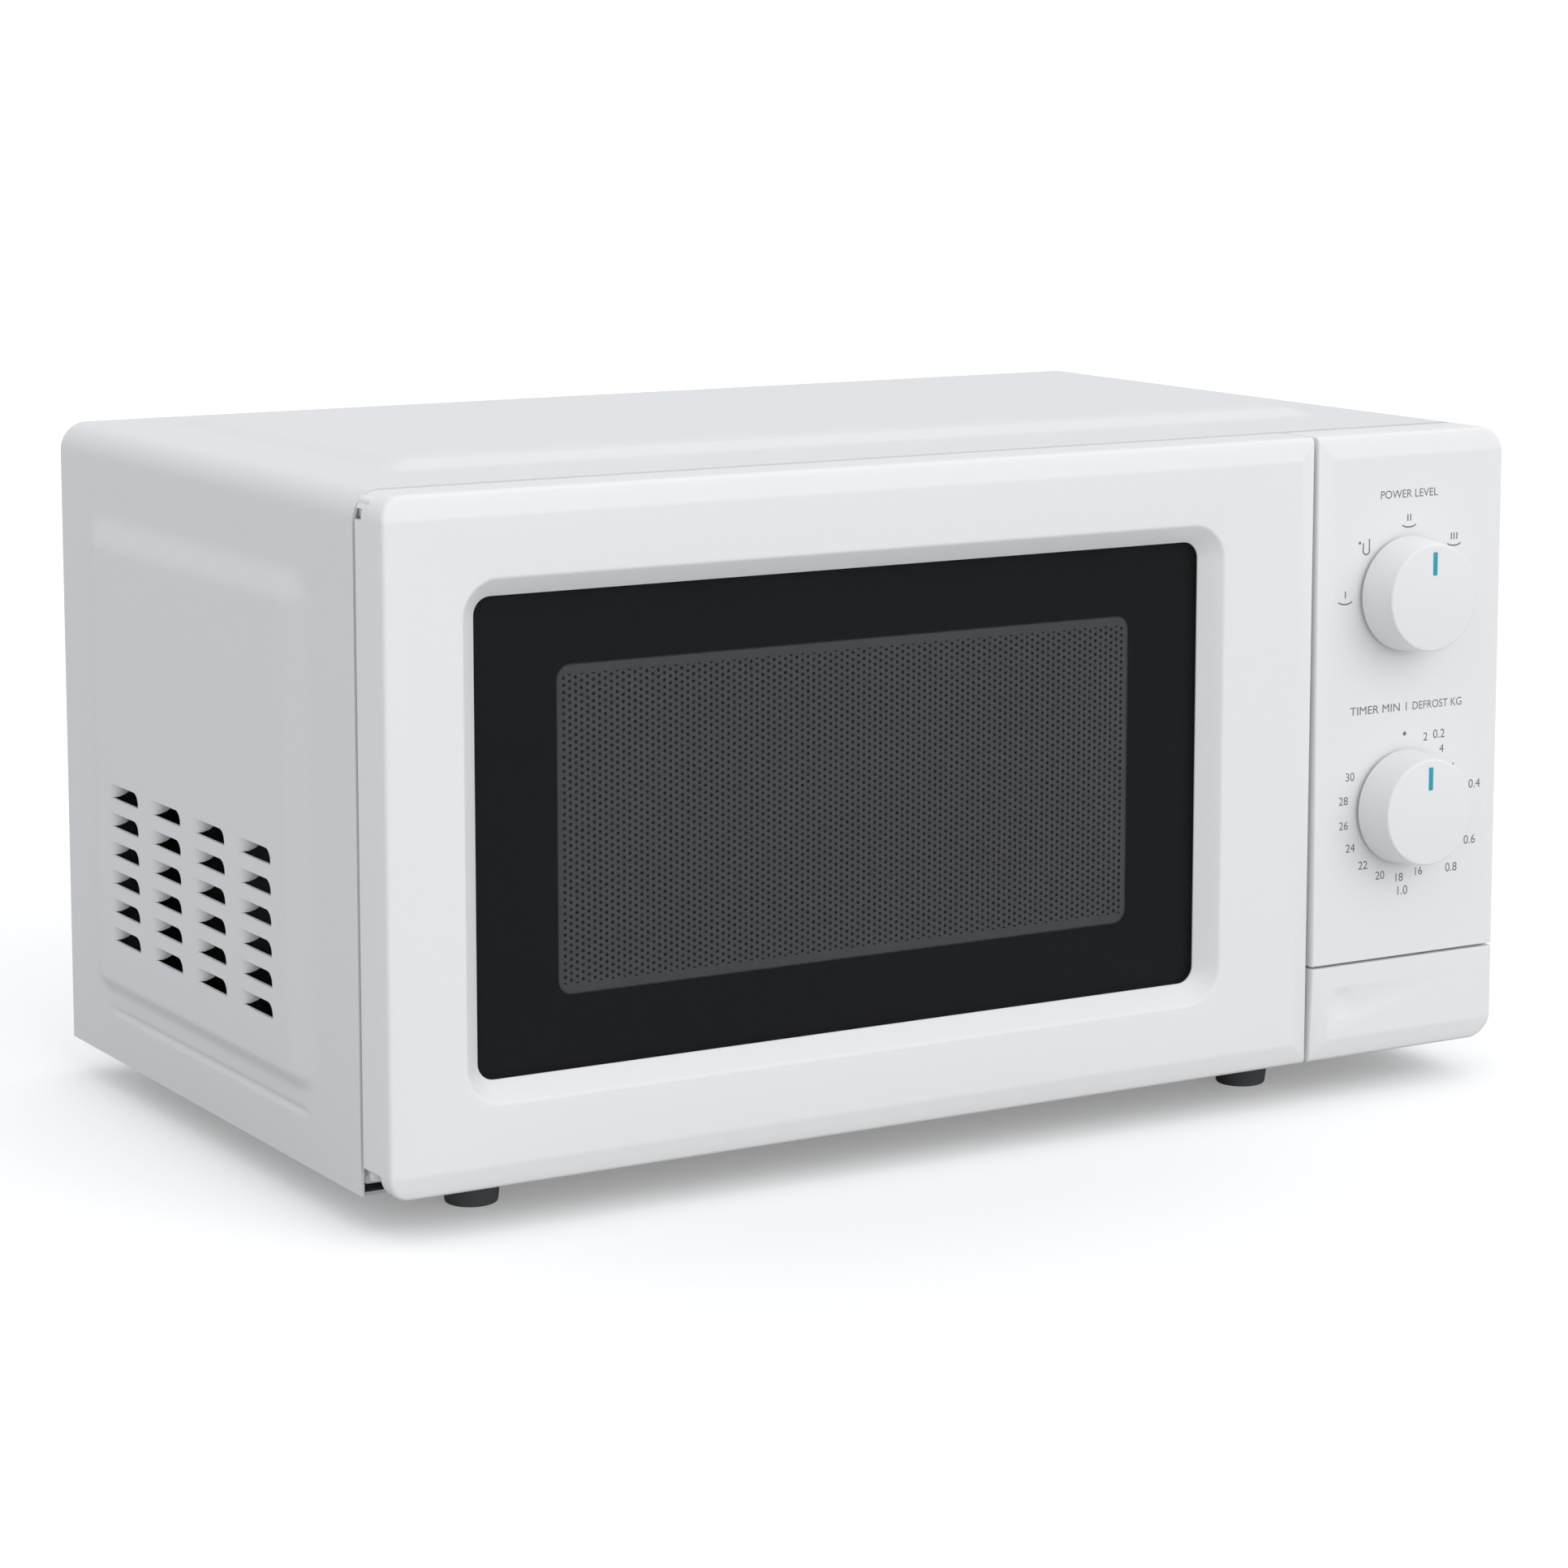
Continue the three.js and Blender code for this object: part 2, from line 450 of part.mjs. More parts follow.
function buildDoorInside() {
  const { left, right, bottom, top, depth } = WINDOW;
  const glassBack = depth + GAP + GLASS_THICKNESS;
  add('door_glass',
    prism('y', rounded(span(x, left - GLASS_LIP, right + GLASS_LIP), [bottom - GLASS_LIP, top + GLASS_LIP],
      6),
    span(y, depth + GAP, glassBack)), BLACK_GLASS);

  const pan = { ...SCREEN_PAN, front: glassBack + GAP };
  const panOuter = prism('y', rounded(span(x, pan.left, pan.right), [pan.bottom, pan.top], pan.radius),
    span(y, pan.front, pan.rear));
  const panInner = prism('y',
    rounded(span(x, pan.left + SHEET, pan.right - SHEET), [pan.bottom + SHEET, pan.top - SHEET],
      pan.radius - 1),
    span(y, pan.front + SHEET, pan.rear + 1));
  add('door_screen', cut(panOuter, panInner), DARK_STEEL);

  const aroundScreen = (border, radius) => rounded(
    span(x, SCREEN.left - border, SCREEN.right + border), [SCREEN.bottom - border, SCREEN.top + border],
      radius);
  const filmFront = pan.front + SHEET + GAP;
  const film = prism('y', aroundScreen(FILM.border, FILM.radius),
    span(y, filmFront, filmFront + FILM.thickness));
  add('door_inner_film', film, CLEAR);

  const { radius } = CHOKE_COVER;
  const coverOutline = rounded(span(x, CHOKE_COVER.left, CHOKE_COVER.right),
    [CHOKE_COVER.bottom, CHOKE_COVER.top], radius);
  const cover = prism('y', coverOutline, span(y, CHOKE_COVER.front, FACE_DEPTH));
  const lookThrough = prism('y', aroundScreen(LOOK_BORDER, radius), span(y, 18, FACE_DEPTH + 1));
  add('choke_cover', cut(cover, lookThrough), BLACK_PLASTIC);
}

function buildLatch() {
  const { left, right, front, rear, beyond, hookEnd, barb: barbLength } = LATCH;
  const bar = box(span(x, left, right), span(y, front, rear), [HOOKS[0] - beyond, HOOKS[1] + beyond]);
  const hooks = HOOKS.map((z) => {
    const shank = box(span(x, ...HOOK_X), span(y, rear - 1, hookEnd), [z - 4, z + 1]);
    const barb = new THREE.Shape();
    barb.moveTo(y(hookEnd - barbLength), z);
    barb.lineTo(y(hookEnd), z);
    barb.lineTo(y(hookEnd - barbLength), z + 4);
    return join(shank, prism('x', barb, span(x, ...HOOK_X)));
  });
  add('door_latch', join(bar, ...hooks), WHITE_PLASTIC);

  const springStart = [x(LATCH_SPRING.x), y(LATCH_SPRING.y), HOOKS[1] + beyond + GAP + SPRING.wire];
  add('latch_spring',
    coil('z', springStart, LATCH_SPRING.length, SPRING.radius, SPRING.wire, SPRING.turns), ZINC);
}

const HINGE_ARM = { left: 2.5, right: 7.5, foot: 14, eye: 2.5, eyeOffset: 0.2, sheet: 2 };

function buildHinge(name, armZ, pinZ) {
  const { left, right, foot: footRight, eye: eyeRadius, eyeOffset, sheet } = HINGE_ARM;
  const arm = box(span(x, left, right), span(y, HINGE.y, FRONT_PLATE - GAP), armZ);
  const eye = rod('z', eyeRadius, armZ, [x(HINGE.x + eyeOffset), y(HINGE.y)], 16);
  const foot = box(span(x, left, footRight), span(y, FRONT_PLATE - sheet, FRONT_PLATE - GAP), armZ);
  const pin = rod('z', HINGE.pin, pinZ, [x(HINGE.x), y(HINGE.y)], 16);
  add(name, join(arm, eye, foot, pin), WHITE_STEEL);
}

// ---- Control strip ------------------------------------------------------------------------------
const SUBFRAME = [18.4, FACE_DEPTH];
const BUTTON_SPRING = { x: 405, z: 34, front: 3.6, length: 14 };
const PANEL_SKIN = 3; // thickness of the control strip and the button behind their faces
const SHAFT_HOLE = 4.5;
const RIB_SLOT = { left: 363, right: 369, bottom: 29, top: 41 };
const BUTTON_SKIRT = 13.5;
const RIB = { half: 2, rear: 26, bottom: 33, top: 37 };
const DIMPLE = { x: 377.1, y: -11.4, z: 35.6, radius: 12 };

function buildControlPanel() {
  const corners = [0, 0, FACE_RADIUS, 0];
  const slab = prism('y', panel(span(x, PANEL_LEFT, WIDTH), [PANEL_BOTTOM, FACE_TOP], corners),
    span(y, 0, FACE_DEPTH));
  const hollow = prism('y', panel(
    span(x, PANEL_LEFT + FACE_WALL, WIDTH - FACE_WALL), [PANEL_BOTTOM + FACE_WALL, FACE_TOP - FACE_WALL],
    [0, 0, FACE_RADIUS - FACE_WALL, 0]), span(y, PANEL_SKIN, FACE_DEPTH + 1));
  const subframe = box(span(x, PANEL_LEFT + 1.5, WIDTH - 2), span(y, ...SUBFRAME), [18, PANEL_BOTTOM + 4]);
  const shaftHoles = [KNOB.upper,
    KNOB.lower].map((z) => rod('y', SHAFT_HOLE, span(y, -1, PANEL_SKIN + 1), [x(KNOB.x), z], 16));
  const ribSlot = box(span(x, RIB_SLOT.left, RIB_SLOT.right), span(y, 18, 21),
    [RIB_SLOT.bottom, RIB_SLOT.top]);
  add('control_panel',
    cut(join(slab, subframe), hollow, ...shaftHoles, ribSlot, ...faceBevels(span(x, 363, WIDTH + 1))),
    WHITE_PLASTIC);
}

function buildButton() {
  const outline = panel(span(x, PANEL_LEFT, WIDTH), [FACE_BOTTOM, BUTTON_TOP], [0, FACE_RADIUS, 0, 0]);
  const slab = prism('y', outline, span(y, 0, BUTTON_SKIRT));
  const hollow = prism('y', panel(
    span(x, PANEL_LEFT + FACE_WALL, WIDTH - FACE_WALL), [FACE_BOTTOM + FACE_WALL, BUTTON_TOP - FACE_WALL],
    [0, FACE_RADIUS - FACE_WALL, 0, 0]), span(y, PANEL_SKIN, BUTTON_SKIRT + 1));
  const leverXs = span(x, LEVER.x - RIB.half, LEVER.x + RIB.half);
  const rib = box(leverXs, span(y, PANEL_SKIN - 0.5, RIB.rear), [RIB.bottom, RIB.top]);
  const ball = new THREE.SphereGeometry(DIMPLE.radius, 24, 16);
  const dimple = solid(ball.translate(x(DIMPLE.x), y(DIMPLE.y), DIMPLE.z));
  add('release_button', cut(join(cut(slab, hollow), rib), dimple, ...faceBevels(span(x, 363, WIDTH + 1))),
    WHITE_PLASTIC);
  const { x: sx, z, front, length } = BUTTON_SPRING;
  add('button_spring', coil('y', [x(sx), y(front), z], length, SPRING.radius, SPRING.wire, SPRING.turns),
    ZINC);

  const tip = LEVER.z - LEVER.arm;
  const lowArm = box(leverXs, span(y, RIB.rear + 0.7, LEVER.y - 9), [tip - 3, tip + 6]);
  const web = box(leverXs, span(y, LEVER.y - 12.5, LEVER.y + 4), [LEVER.z - 22, LEVER.z - 14]);
  const post = box(leverXs, span(y, LEVER.y - 4, LEVER.y + 4), [LEVER.z - 18, LEVER.z + 30]);
  const pivot = rod('x', LEVER.pivot, span(x, LEVER.x - 3, LEVER.x + 5), [y(LEVER.y), LEVER.z], 14);
  add('release_lever', join(lowArm, web, post, pivot), WHITE_PLASTIC);
}

// A hollow cup with a boss that grips the shaft, and a groove for the pointer insert.
function buildKnob(name, z) {
  const { x: kx, base, face, wall, skin, shaft } = KNOB;
  const { half, low, high, depth } = POINTER;
  const centre = [x(kx), z];
  const cup = cut(
    rod('y', face, span(y, -KNOB_LENGTH, -GAP), centre, 36, base),
    rod('y', face - wall, span(y, -KNOB_LENGTH + skin, 1), centre, 24, base - wall));
  const boss = rod('y', KNOB.boss, span(y, -KNOB_LENGTH + 2, -2), centre, 24);
  const bore = rod('y', shaft + GAP, span(y, -KNOB_LENGTH + 4, 0), centre, 18);
  const groove = box([centre[0] - half - GAP, centre[0] + half + GAP],
    span(y, -KNOB_LENGTH - 1, -KNOB_LENGTH + depth + GAP), [z + low - GAP, z + high + GAP]);
  add(name + '_knob', cut(join(cup, boss), bore, groove), WHITE_PLASTIC);
  const insert = box([centre[0] - half, centre[0] + half], span(y, -KNOB_LENGTH, -KNOB_LENGTH + depth),
    [z + low, z + high]);
  add(name + '_pointer', insert, BLUE);
  add(name + '_shaft', rod('y', shaft, span(y, -KNOB_LENGTH + 4.5, 27), centre, 18), ZINC);
}

// The switch body behind a knob, drilled for its shaft, with three terminal tabs.
const SWITCH_BODY = { half: 22, front: 25.2 };

function buildSwitchBody(name, z, depth) {
  const { half, front } = SWITCH_BODY;
  const rear = front + depth;
  const body = box(span(x, KNOB.x - half, KNOB.x + half), span(y, front, rear), [z - half, z + half]);
  const bore = rod('y', KNOB.shaft + GAP, span(y, front - 1.2, front + 3.8), [x(KNOB.x), z], 18);
  const tabs = [-12, 0, 12].map((dx) => box(
    span(x, KNOB.x + dx - 3, KNOB.x + dx + 3), span(y, rear - 1, rear + 7.8), [z + 8, z + 8.8]));
  add(name, join(cut(body, bore), ...tabs), GREY_RUBBER);
}

// ---- Electrical bay -----------------------------------------------------------------------------
function buildInterlock() {
  const plate = box(span(x, 357, 360), span(y, 26, 62), [58, 204]);
  const ledges = HOOKS.map((z) => box(span(x, 344, 359), span(y, 36, 52), [z - 8, z - 5]));
  const pivotHole = rod('x', LEVER.pivot + GAP, span(x, 356, 361), [y(LEVER.y), LEVER.z], 14);
  add('interlock_bracket', cut(join(plate, ...ledges), pivotHole), WHITE_PLASTIC);
  HOOKS.forEach((z, i) => {
    const body = box(span(x, 345, 355), span(y, 37, 57), [z - 4.7, z + 8]);
    const plunger = box(span(x, 348, 352), span(y, 35.3, 38), [z, z + 3]);
    add(['door_switch_lower', 'door_switch_upper'][i], join(body, plunger), BLACK_PLASTIC);
  });
}

const WAVEGUIDE = { left: 324.6, right: 342.6, front: 95, rear: 165, bottom: 105, top: 205 };
const MAGNETRON = { left: 343.2, right: 428, y: 130, z: 175, half: 30, sheet: 2, anode: 18, antenna: 8,
  filter: 22 };
const FINS = { count: 5, start: 12, pitch: 10, thickness: 1 };

function buildMagnetron() {
  const { left, right, front, rear, bottom, top } = WAVEGUIDE;
  const axis = [y(MAGNETRON.y), MAGNETRON.z];
  const duct = cut(
    box(span(x, left, right), span(y, front, rear), [bottom, top]),
    box(span(x, left - 1.6, right - SHEET), span(y, front + SHEET, rear - SHEET),
      [bottom + SHEET, top - SHEET]),
    rod('x', 12, span(x, right - 2.6, right + 1.4), axis, 18));
  add('waveguide', duct, ZINC);

  const { left: from, right: to, half, sheet, anode: anodeRadius, antenna: antennaRadius,
    filter } = MAGNETRON;
  const ys = (reach) => span(y, MAGNETRON.y - reach, MAGNETRON.y + reach);
  const zs = (reach) => [MAGNETRON.z - reach, MAGNETRON.z + reach];
  const frame = cut(
    box(span(x, from, to), ys(half), zs(half)),
    box(span(x, from + sheet, to - filter), ys(half + 1), zs(half - sheet)));
  const anode = rod('x', anodeRadius, span(x, from + 1, to - filter + 1), axis, 20);
  const antenna = rod('x', antennaRadius, span(x, 330, from + 1), axis, 16);
  const fins = [];
  for (let i = 0; i < FINS.count; i++) {
    const fin = from + FINS.start + i * FINS.pitch;
    fins.push(box(span(x, fin, fin + FINS.thickness), ys(half - sheet), zs(half - 1)));
  }
  add('magnetron', join(frame, anode, antenna, ...fins), ZINC);
}

const CORE = { left: 343, right: 423, front: 95, rear: 165, height: 64, limb: 12, window: 14 };
const WINDING = { front: 80, rear: 180, radius: 10 };
const CAPACITOR = { left: 385, right: 435, front: 32, rear: 64, radius: 15.9, height: 60 };
const BOARD = { left: 335, right: 430, front: 185, rear: 235, z: 212, thickness: 1.6 };

function buildPowerSupply() {
  const floor = BODY_BOTTOM + SHEET + GAP;
  const { left, right, front, rear, height, limb, window } = CORE;
  const [inner, ceiling] = [limb + window, floor + height - limb];
  const windows = [[left + limb, left + inner], [right - inner, right - limb]].map(
    (xs) => box(span(x, ...xs), span(y, front - 1, rear + 1), [floor + limb, ceiling]));
  const core = cut(box(span(x, left, right), span(y, front, rear), [floor, floor + height]), ...windows);
  add('transformer_core', core, DARK_STEEL);
  const outline = rounded(
    span(x, left + limb + GAP, right - limb - GAP), span(y, WINDING.front, WINDING.rear), WINDING.radius);
  const winding = cut(
    prism('z', outline, [floor + limb + 1, ceiling - 1]),
    box(span(x, left + inner - GAP, right - inner + GAP), span(y, front - GAP, rear + GAP),
      [floor, ceiling + limb]));
  add('transformer_winding', winding, COPPER);

  const can = prism(
    'z', rounded(span(x, CAPACITOR.left, CAPACITOR.right), span(y, CAPACITOR.front, CAPACITOR.rear),
      CAPACITOR.radius),
    [floor, floor + CAPACITOR.height]);
  const terminals = [398, 422].map((tx) => box(
    span(x, tx - 3, tx + 3), span(y, 47.5, 48.5),
      [floor + CAPACITOR.height - 1, floor + CAPACITOR.height + 8]));
  add('high_voltage_capacitor', join(can, ...terminals), ZINC);

  const boardZ = BOARD.z;
  const board = box(span(x, BOARD.left, BOARD.right), span(y, BOARD.front, BOARD.rear),
    [boardZ, boardZ + BOARD.thickness]);
  const parts = [
    rod('z', 10, [boardZ + 1, boardZ + 16], [x(352), y(205)], 18),
    rod('z', 6, [boardZ + 1, boardZ + 20], [x(378), y(198)], 14),
    box(span(x, 392, 420), span(y, 195, 207), [boardZ + 1, boardZ + 17]),
    box(span(x, 370, 412), span(y, 216, 228), [boardZ + 1, boardZ + 9])];
  add('noise_filter_board', join(board, ...parts), MICA);

  const bulb = [[0, -12], [6, -12], [6, 2], [9.5, 8], [9.5, 14], [6, 19], [0, 21]];
  const lamp = turned(bulb, [0, 0], 18).rotate([0, -90, 0]).translate([x(LAMP.x), y(LAMP.y), LAMP.z]);
  add('cavity_lamp', lamp, CLEAR);
}

function buildFan() {
  const centre = [x(FAN.x), FAN.z];
  const half = FAN.radius + 10;
  const plate = box([centre[0] - half, centre[0] + half], span(y, 262, 264), [FAN.z - half, FAN.z + half]);
  const tube = rod('y', FAN.radius + 6, span(y, 240, 263), centre, 36);
  const struts = [-1, 1].map((side) => box(
    [centre[0] + side * 36 - 3, centre[0] + side * 36 + 3], span(y, 236, 242), [FAN.z - 34, FAN.z + 34]));
  const bore = rod('y', FAN.radius + 4, span(y, 243, 270), centre, 36);
  const inlet = rod('y', FAN.radius - 4, span(y, 239, 250), centre, 36);
  add('fan_shroud', cut(join(plate, tube, ...struts), bore, inlet), GREY_RUBBER);

  const core = box([centre[0] - 25, centre[0] + 25], span(y, 212, 228), [FAN.z - 22, FAN.z + 22]);
  const coilBody = box([centre[0] - 14, centre[0] + 14], span(y, 206, 234), [FAN.z - 38, FAN.z - 21]);
  const cap = rod('y', 10, span(y, 204, 234), centre, 18);
  add('fan_motor', cut(join(core, coilBody, cap), rod('y', 2, span(y, 226, 236), centre, 12)), DARK_STEEL);

  const hub = rod('y', 12, span(y, FAN.y - 4, FAN.y + 8), centre, 20);
  const shaft = rod('y', 1.6, span(y, 229, FAN.y), centre, 12);
  const blades = [];
  for (let i = 0; i < 5; i++) {
    const blade = solid(new THREE.BoxGeometry(FAN.radius - 9, 1.6, 24));
    blades.push(blade.rotate([32, 0, 0]).translate([(FAN.radius + 9) / 2, FAN.y + 2, 0]).rotate([0, i * 72,
      0])
      .translate([centre[0], 0, centre[1]]));
  }
  const disc = rod('y', FAN.radius, span(y, FAN.y - 6, FAN.y + 11), centre, 36);
  add('fan_blade',
    join(hub, shaft, ...blades.map((blade) => blade.translate([0, FRONT, 0]).intersect(disc))), CLEAR);
}

// ---- Assembly -----------------------------------------------------------------------------------
buildCasing();
buildBase();
buildBack();
buildCavity();
buildTurntable();
buildDoorFrame();
buildDoorInside();
buildLatch();
buildHinge('hinge_upper', [232.3, 234.8], [233, 238]);
buildHinge('hinge_lower', [18.6, 21.2], [20, 23.8]);
buildControlPanel();
buildButton();
buildKnob('power', KNOB.upper);
buildKnob('timer', KNOB.lower);
buildSwitchBody('power_selector', KNOB.upper, 26);
buildSwitchBody('timer_unit', KNOB.lower, 36);
buildInterlock();
buildMagnetron();
buildPowerSupply();
buildFan();

export default oven;
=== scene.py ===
import json
import math

import bmesh
import bpy
from mathutils import Matrix, Vector


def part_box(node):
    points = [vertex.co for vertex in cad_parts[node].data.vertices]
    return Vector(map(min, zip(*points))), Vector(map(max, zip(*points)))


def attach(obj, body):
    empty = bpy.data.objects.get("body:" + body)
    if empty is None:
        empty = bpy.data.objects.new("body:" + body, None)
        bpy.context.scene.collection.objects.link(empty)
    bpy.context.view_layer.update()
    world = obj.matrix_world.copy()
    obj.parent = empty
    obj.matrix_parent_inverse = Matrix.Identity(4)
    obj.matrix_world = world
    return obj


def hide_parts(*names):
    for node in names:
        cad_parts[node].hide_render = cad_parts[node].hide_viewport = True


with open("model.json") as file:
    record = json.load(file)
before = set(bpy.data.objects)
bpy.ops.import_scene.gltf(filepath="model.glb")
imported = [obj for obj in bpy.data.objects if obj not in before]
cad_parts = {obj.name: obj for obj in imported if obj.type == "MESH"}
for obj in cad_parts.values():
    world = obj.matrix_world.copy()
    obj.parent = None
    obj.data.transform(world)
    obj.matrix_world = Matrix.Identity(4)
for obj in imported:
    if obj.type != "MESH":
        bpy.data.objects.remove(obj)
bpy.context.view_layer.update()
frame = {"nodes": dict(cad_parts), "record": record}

# ---- Camera ----
# A long lens left of the door and above it, turned down a little, with a small shift that keeps the oven's
# upright edges nearly parallel.
scene = bpy.context.scene
mm = 0.001
CAMERA_STAND = Vector((-787.6, -1348.8, 393.5)) * mm
CAMERA_TURN = math.radians(30.427)
CAMERA_DIP = math.radians(7.879)

camera_lens = bpy.data.cameras.new("camera")
camera_lens.lens = 99.08
camera_lens.sensor_width = 36
camera_lens.shift_y = -0.12
camera = bpy.data.objects.new("camera", camera_lens)
camera.location = CAMERA_STAND
camera.rotation_euler = (math.pi / 2 - CAMERA_DIP, 0, -CAMERA_TURN)
scene.collection.objects.link(camera)
scene.camera = camera
scene.view_settings.view_transform = "Standard"


# ---- Floor ----
# Pale seamless paper, so wide that its end is never seen. Its finish starts the shader maths that every other
# finish uses: a Value is a socket that takes arithmetic, and a Graph adds any other node.
class Value:
    def __init__(self, graph, socket):
        self.graph = graph
        self.socket = socket

    def maths(self, operation, first, second):
        return self.graph.add("ShaderNodeMath", {"operation": operation}, {0: first, 1: second})["Value"]

    def __add__(self, other):
        return self.maths("ADD", self, other)

    __radd__ = __add__

    def __sub__(self, other):
        return self.maths("SUBTRACT", self, other)

    def __rsub__(self, other):
        return self.maths("SUBTRACT", other, self)

    def __mul__(self, other):
        return self.maths("MULTIPLY", self, other)

    __rmul__ = __mul__

    def __truediv__(self, other):
        return self.maths("DIVIDE", self, other)

    def __mod__(self, other):
        return self.maths("FLOORED_MODULO", self, other)


class Graph:
    def __init__(self, tree):
        self.tree = tree

    def add(self, kind, settings=None, sockets=None):
        node = self.tree.nodes.new(kind)
        for name, setting in (settings or {}).items():
            if name == "stops":
                for element, (place, colour) in zip(node.color_ramp.elements, setting):
                    element.position = place
                    element.color = (*colour, 1)
            else:
                setattr(node, name, setting)
        for key, value in (sockets or {}).items():
            named = [s for s in node.inputs if s.enabled and s.name == key]
            socket = node.inputs[key] if isinstance(key, int) else named[0]
            if isinstance(value, Value):
                self.tree.links.new(value.socket, socket)
            else:
                socket.default_value = value
        return {s.name: Value(self, s) for s in node.outputs if s.enabled}


class Finish(Graph):
    """A material with one Principled surface: plain numbers set its sockets, and nodes feed the rest."""

    def __init__(self, name, **fixed):
        self.material = bpy.data.materials.new(name)
        self.material.use_nodes = True
        super().__init__(self.material.node_tree)
        self.surface = self.tree.nodes["Principled BSDF"]
        for socket, value in fixed.items():
            self.surface.inputs[socket.replace("_", " ")].default_value = value
        self.place = self.add("ShaderNodeTexCoord")["Object"]

    def feed(self, socket, value):
        self.tree.links.new(value.socket, self.surface.inputs[socket])

    def noise(self, scale, detail=2, stretch=(1, 1, 1)):
        place = self.add("ShaderNodeMapping", {}, {"Vector": self.place, "Scale": stretch})["Vector"]
        return self.add("ShaderNodeTexNoise", {}, {"Vector": place, "Scale": scale, "Detail": detail})["Fac"]

    def away_from(self, middle):
        """How far each place lies from a middle, along each axis."""
        moved = self.add("ShaderNodeMapping", {}, {"Vector": self.place, "Location": tuple(-middle)})
        sizes = self.add("ShaderNodeVectorMath", {"operation": "ABSOLUTE"}, {0: moved["Vector"]})
        return self.add("ShaderNodeSeparateXYZ", {}, {"Vector": sizes["Vector"]})

    def blend(self, factor, first, second):
        first, second = [colour if isinstance(colour, Value) else (*colour, 1) for colour in (first, second)]
        colours = {"Factor": factor, "A": first, "B": second}
        return self.add("ShaderNodeMix", {"data_type": "RGBA"}, colours)["Result"]

    def relief(self, height, depth):
        bump = self.add("ShaderNodeBump", {}, {"Height": height, "Distance": depth * mm, "Strength": 1})
        self.feed("Normal", bump["Normal"])


def grained(name, light, dark, roughness, grain, depth, patch=9, **fixed):
    """A moulded or painted finish: slow change of tone, and a fine grain in its gloss and its relief."""
    made = Finish(name, **fixed)
    fine = made.noise(grain)
    made.feed("Base Color", made.blend(made.noise(patch, 3), light, dark))
    made.feed("Roughness", fine * 0.12 + (roughness - 0.06))
    made.relief(fine, depth)
    return made.material


def solid_of(name, points, faces, material, sharp=32, outward=True):
    """A mesh object from points in millimetres, with shared corners merged and its faces pointing out.

    Edges that turn by more than the sharp angle, in degrees, are shaded sharp.
    """
    mesh = bpy.data.meshes.new(name)
    mesh.from_pydata([Vector(point) * mm for point in points], [], faces)
    work = bmesh.new()
    work.from_mesh(mesh)
    bmesh.ops.remove_doubles(work, verts=work.verts, dist=0.001 * mm)
    if outward:
        bmesh.ops.recalc_face_normals(work, faces=work.faces)
    work.to_mesh(mesh)
    work.free()
    mesh.shade_smooth()
    mesh.set_sharp_from_angle(angle=math.radians(sharp))
    mesh.materials.append(material)
    shape = bpy.data.objects.new(name, mesh)
    scene.collection.objects.link(shape)
    return shape


def fillet(centre, radius, start, end, steps=4):
    """Points of an arc in a profile, from one angle to another, in degrees."""
    angles = [math.radians(start + (end - start) * i / steps) for i in range(steps + 1)]
    return [(centre[0] + radius * math.cos(a), centre[1] + radius * math.sin(a)) for a in angles]


def skin(count, pairs):
    """Faces between pairs of rings of points, which are numbered ring by ring."""
    return [(a * count + i, a * count + (i + 1) % count, b * count + (i + 1) % count, b * count + i)
            for a, b in pairs for i in range(count)]


def cap(count, ring):
    return tuple(range(ring * count, (ring + 1) * count))


ON_AXIS = 0.01  # a ring with a smaller radius needs no cap


def lathe(name, profile, centre, axis, material, segments=64, sharp=32, ends=True):
    """A profile of (radius, place along the axis) points turned about that axis, through a centre."""
    points = []
    for radius, along in profile:
        for i in range(segments):
            angle = 2 * math.pi * i / segments
            u, v = radius * math.cos(angle), radius * math.sin(angle)
            offsets = {"x": (along, u, v), "y": (u, along, v), "z": (u, v, along)}[axis]
            points.append([c + o for c, o in zip(centre, offsets)])
    last = len(profile) - 1
    faces = skin(segments, [(ring, ring + 1) for ring in range(last)])
    faces += [cap(segments, ring) for ring in (0, last) if ends and profile[ring][0] > ON_AXIS]
    return solid_of(name, points, faces, material, sharp)


paper = Finish("paper", Roughness=0.9, Emission_Strength=0.24)
seen = paper.add("ShaderNodeLightPath")["Is Camera Ray"]
pale = paper.blend(paper.noise(0.5, 3), (0.90, 0.90, 0.90), (0.88, 0.88, 0.885))
paper.feed("Base Color", paper.blend(seen, (0.57, 0.57, 0.575), pale))
paper.feed("Emission Color", paper.blend(seen, (0, 0, 0), (1, 1, 1)))
paper = paper.material
FLOOR_REACH = 20000
FLOOR_RIM = 800
flat_reach = FLOOR_REACH - FLOOR_RIM
floor_profile = [(0, 0), (flat_reach, 0)] + fillet((flat_reach, FLOOR_RIM), FLOOR_RIM, -90, 0)
floor = lathe("floor", floor_profile, (0, 0, 0), "z", paper, 96, ends=False)

# ---- Studio light ----
# A pale room, brighter overhead, with one broad soft lamp in front and to the right, so that the front is
# brightest, the top a little less, and the left side falls off to grey.
LAMP_FROM = Vector((0.24, -0.90, 0.34))
LAMP_STRENGTH = 1.08
LAMP_SPREAD = math.radians(60)
ROOM_WALLS = 0.64
ROOM_CEILING = 1.00

lamp_light = bpy.data.lights.new("soft_lamp", "SUN")
lamp_light.energy = LAMP_STRENGTH
lamp_light.angle = LAMP_SPREAD
lamp = bpy.data.objects.new("soft_lamp", lamp_light)
lamp.rotation_euler = (-LAMP_FROM).to_track_quat("-Z", "Y").to_euler()
lamp.visible_glossy = False
scene.collection.objects.link(lamp)

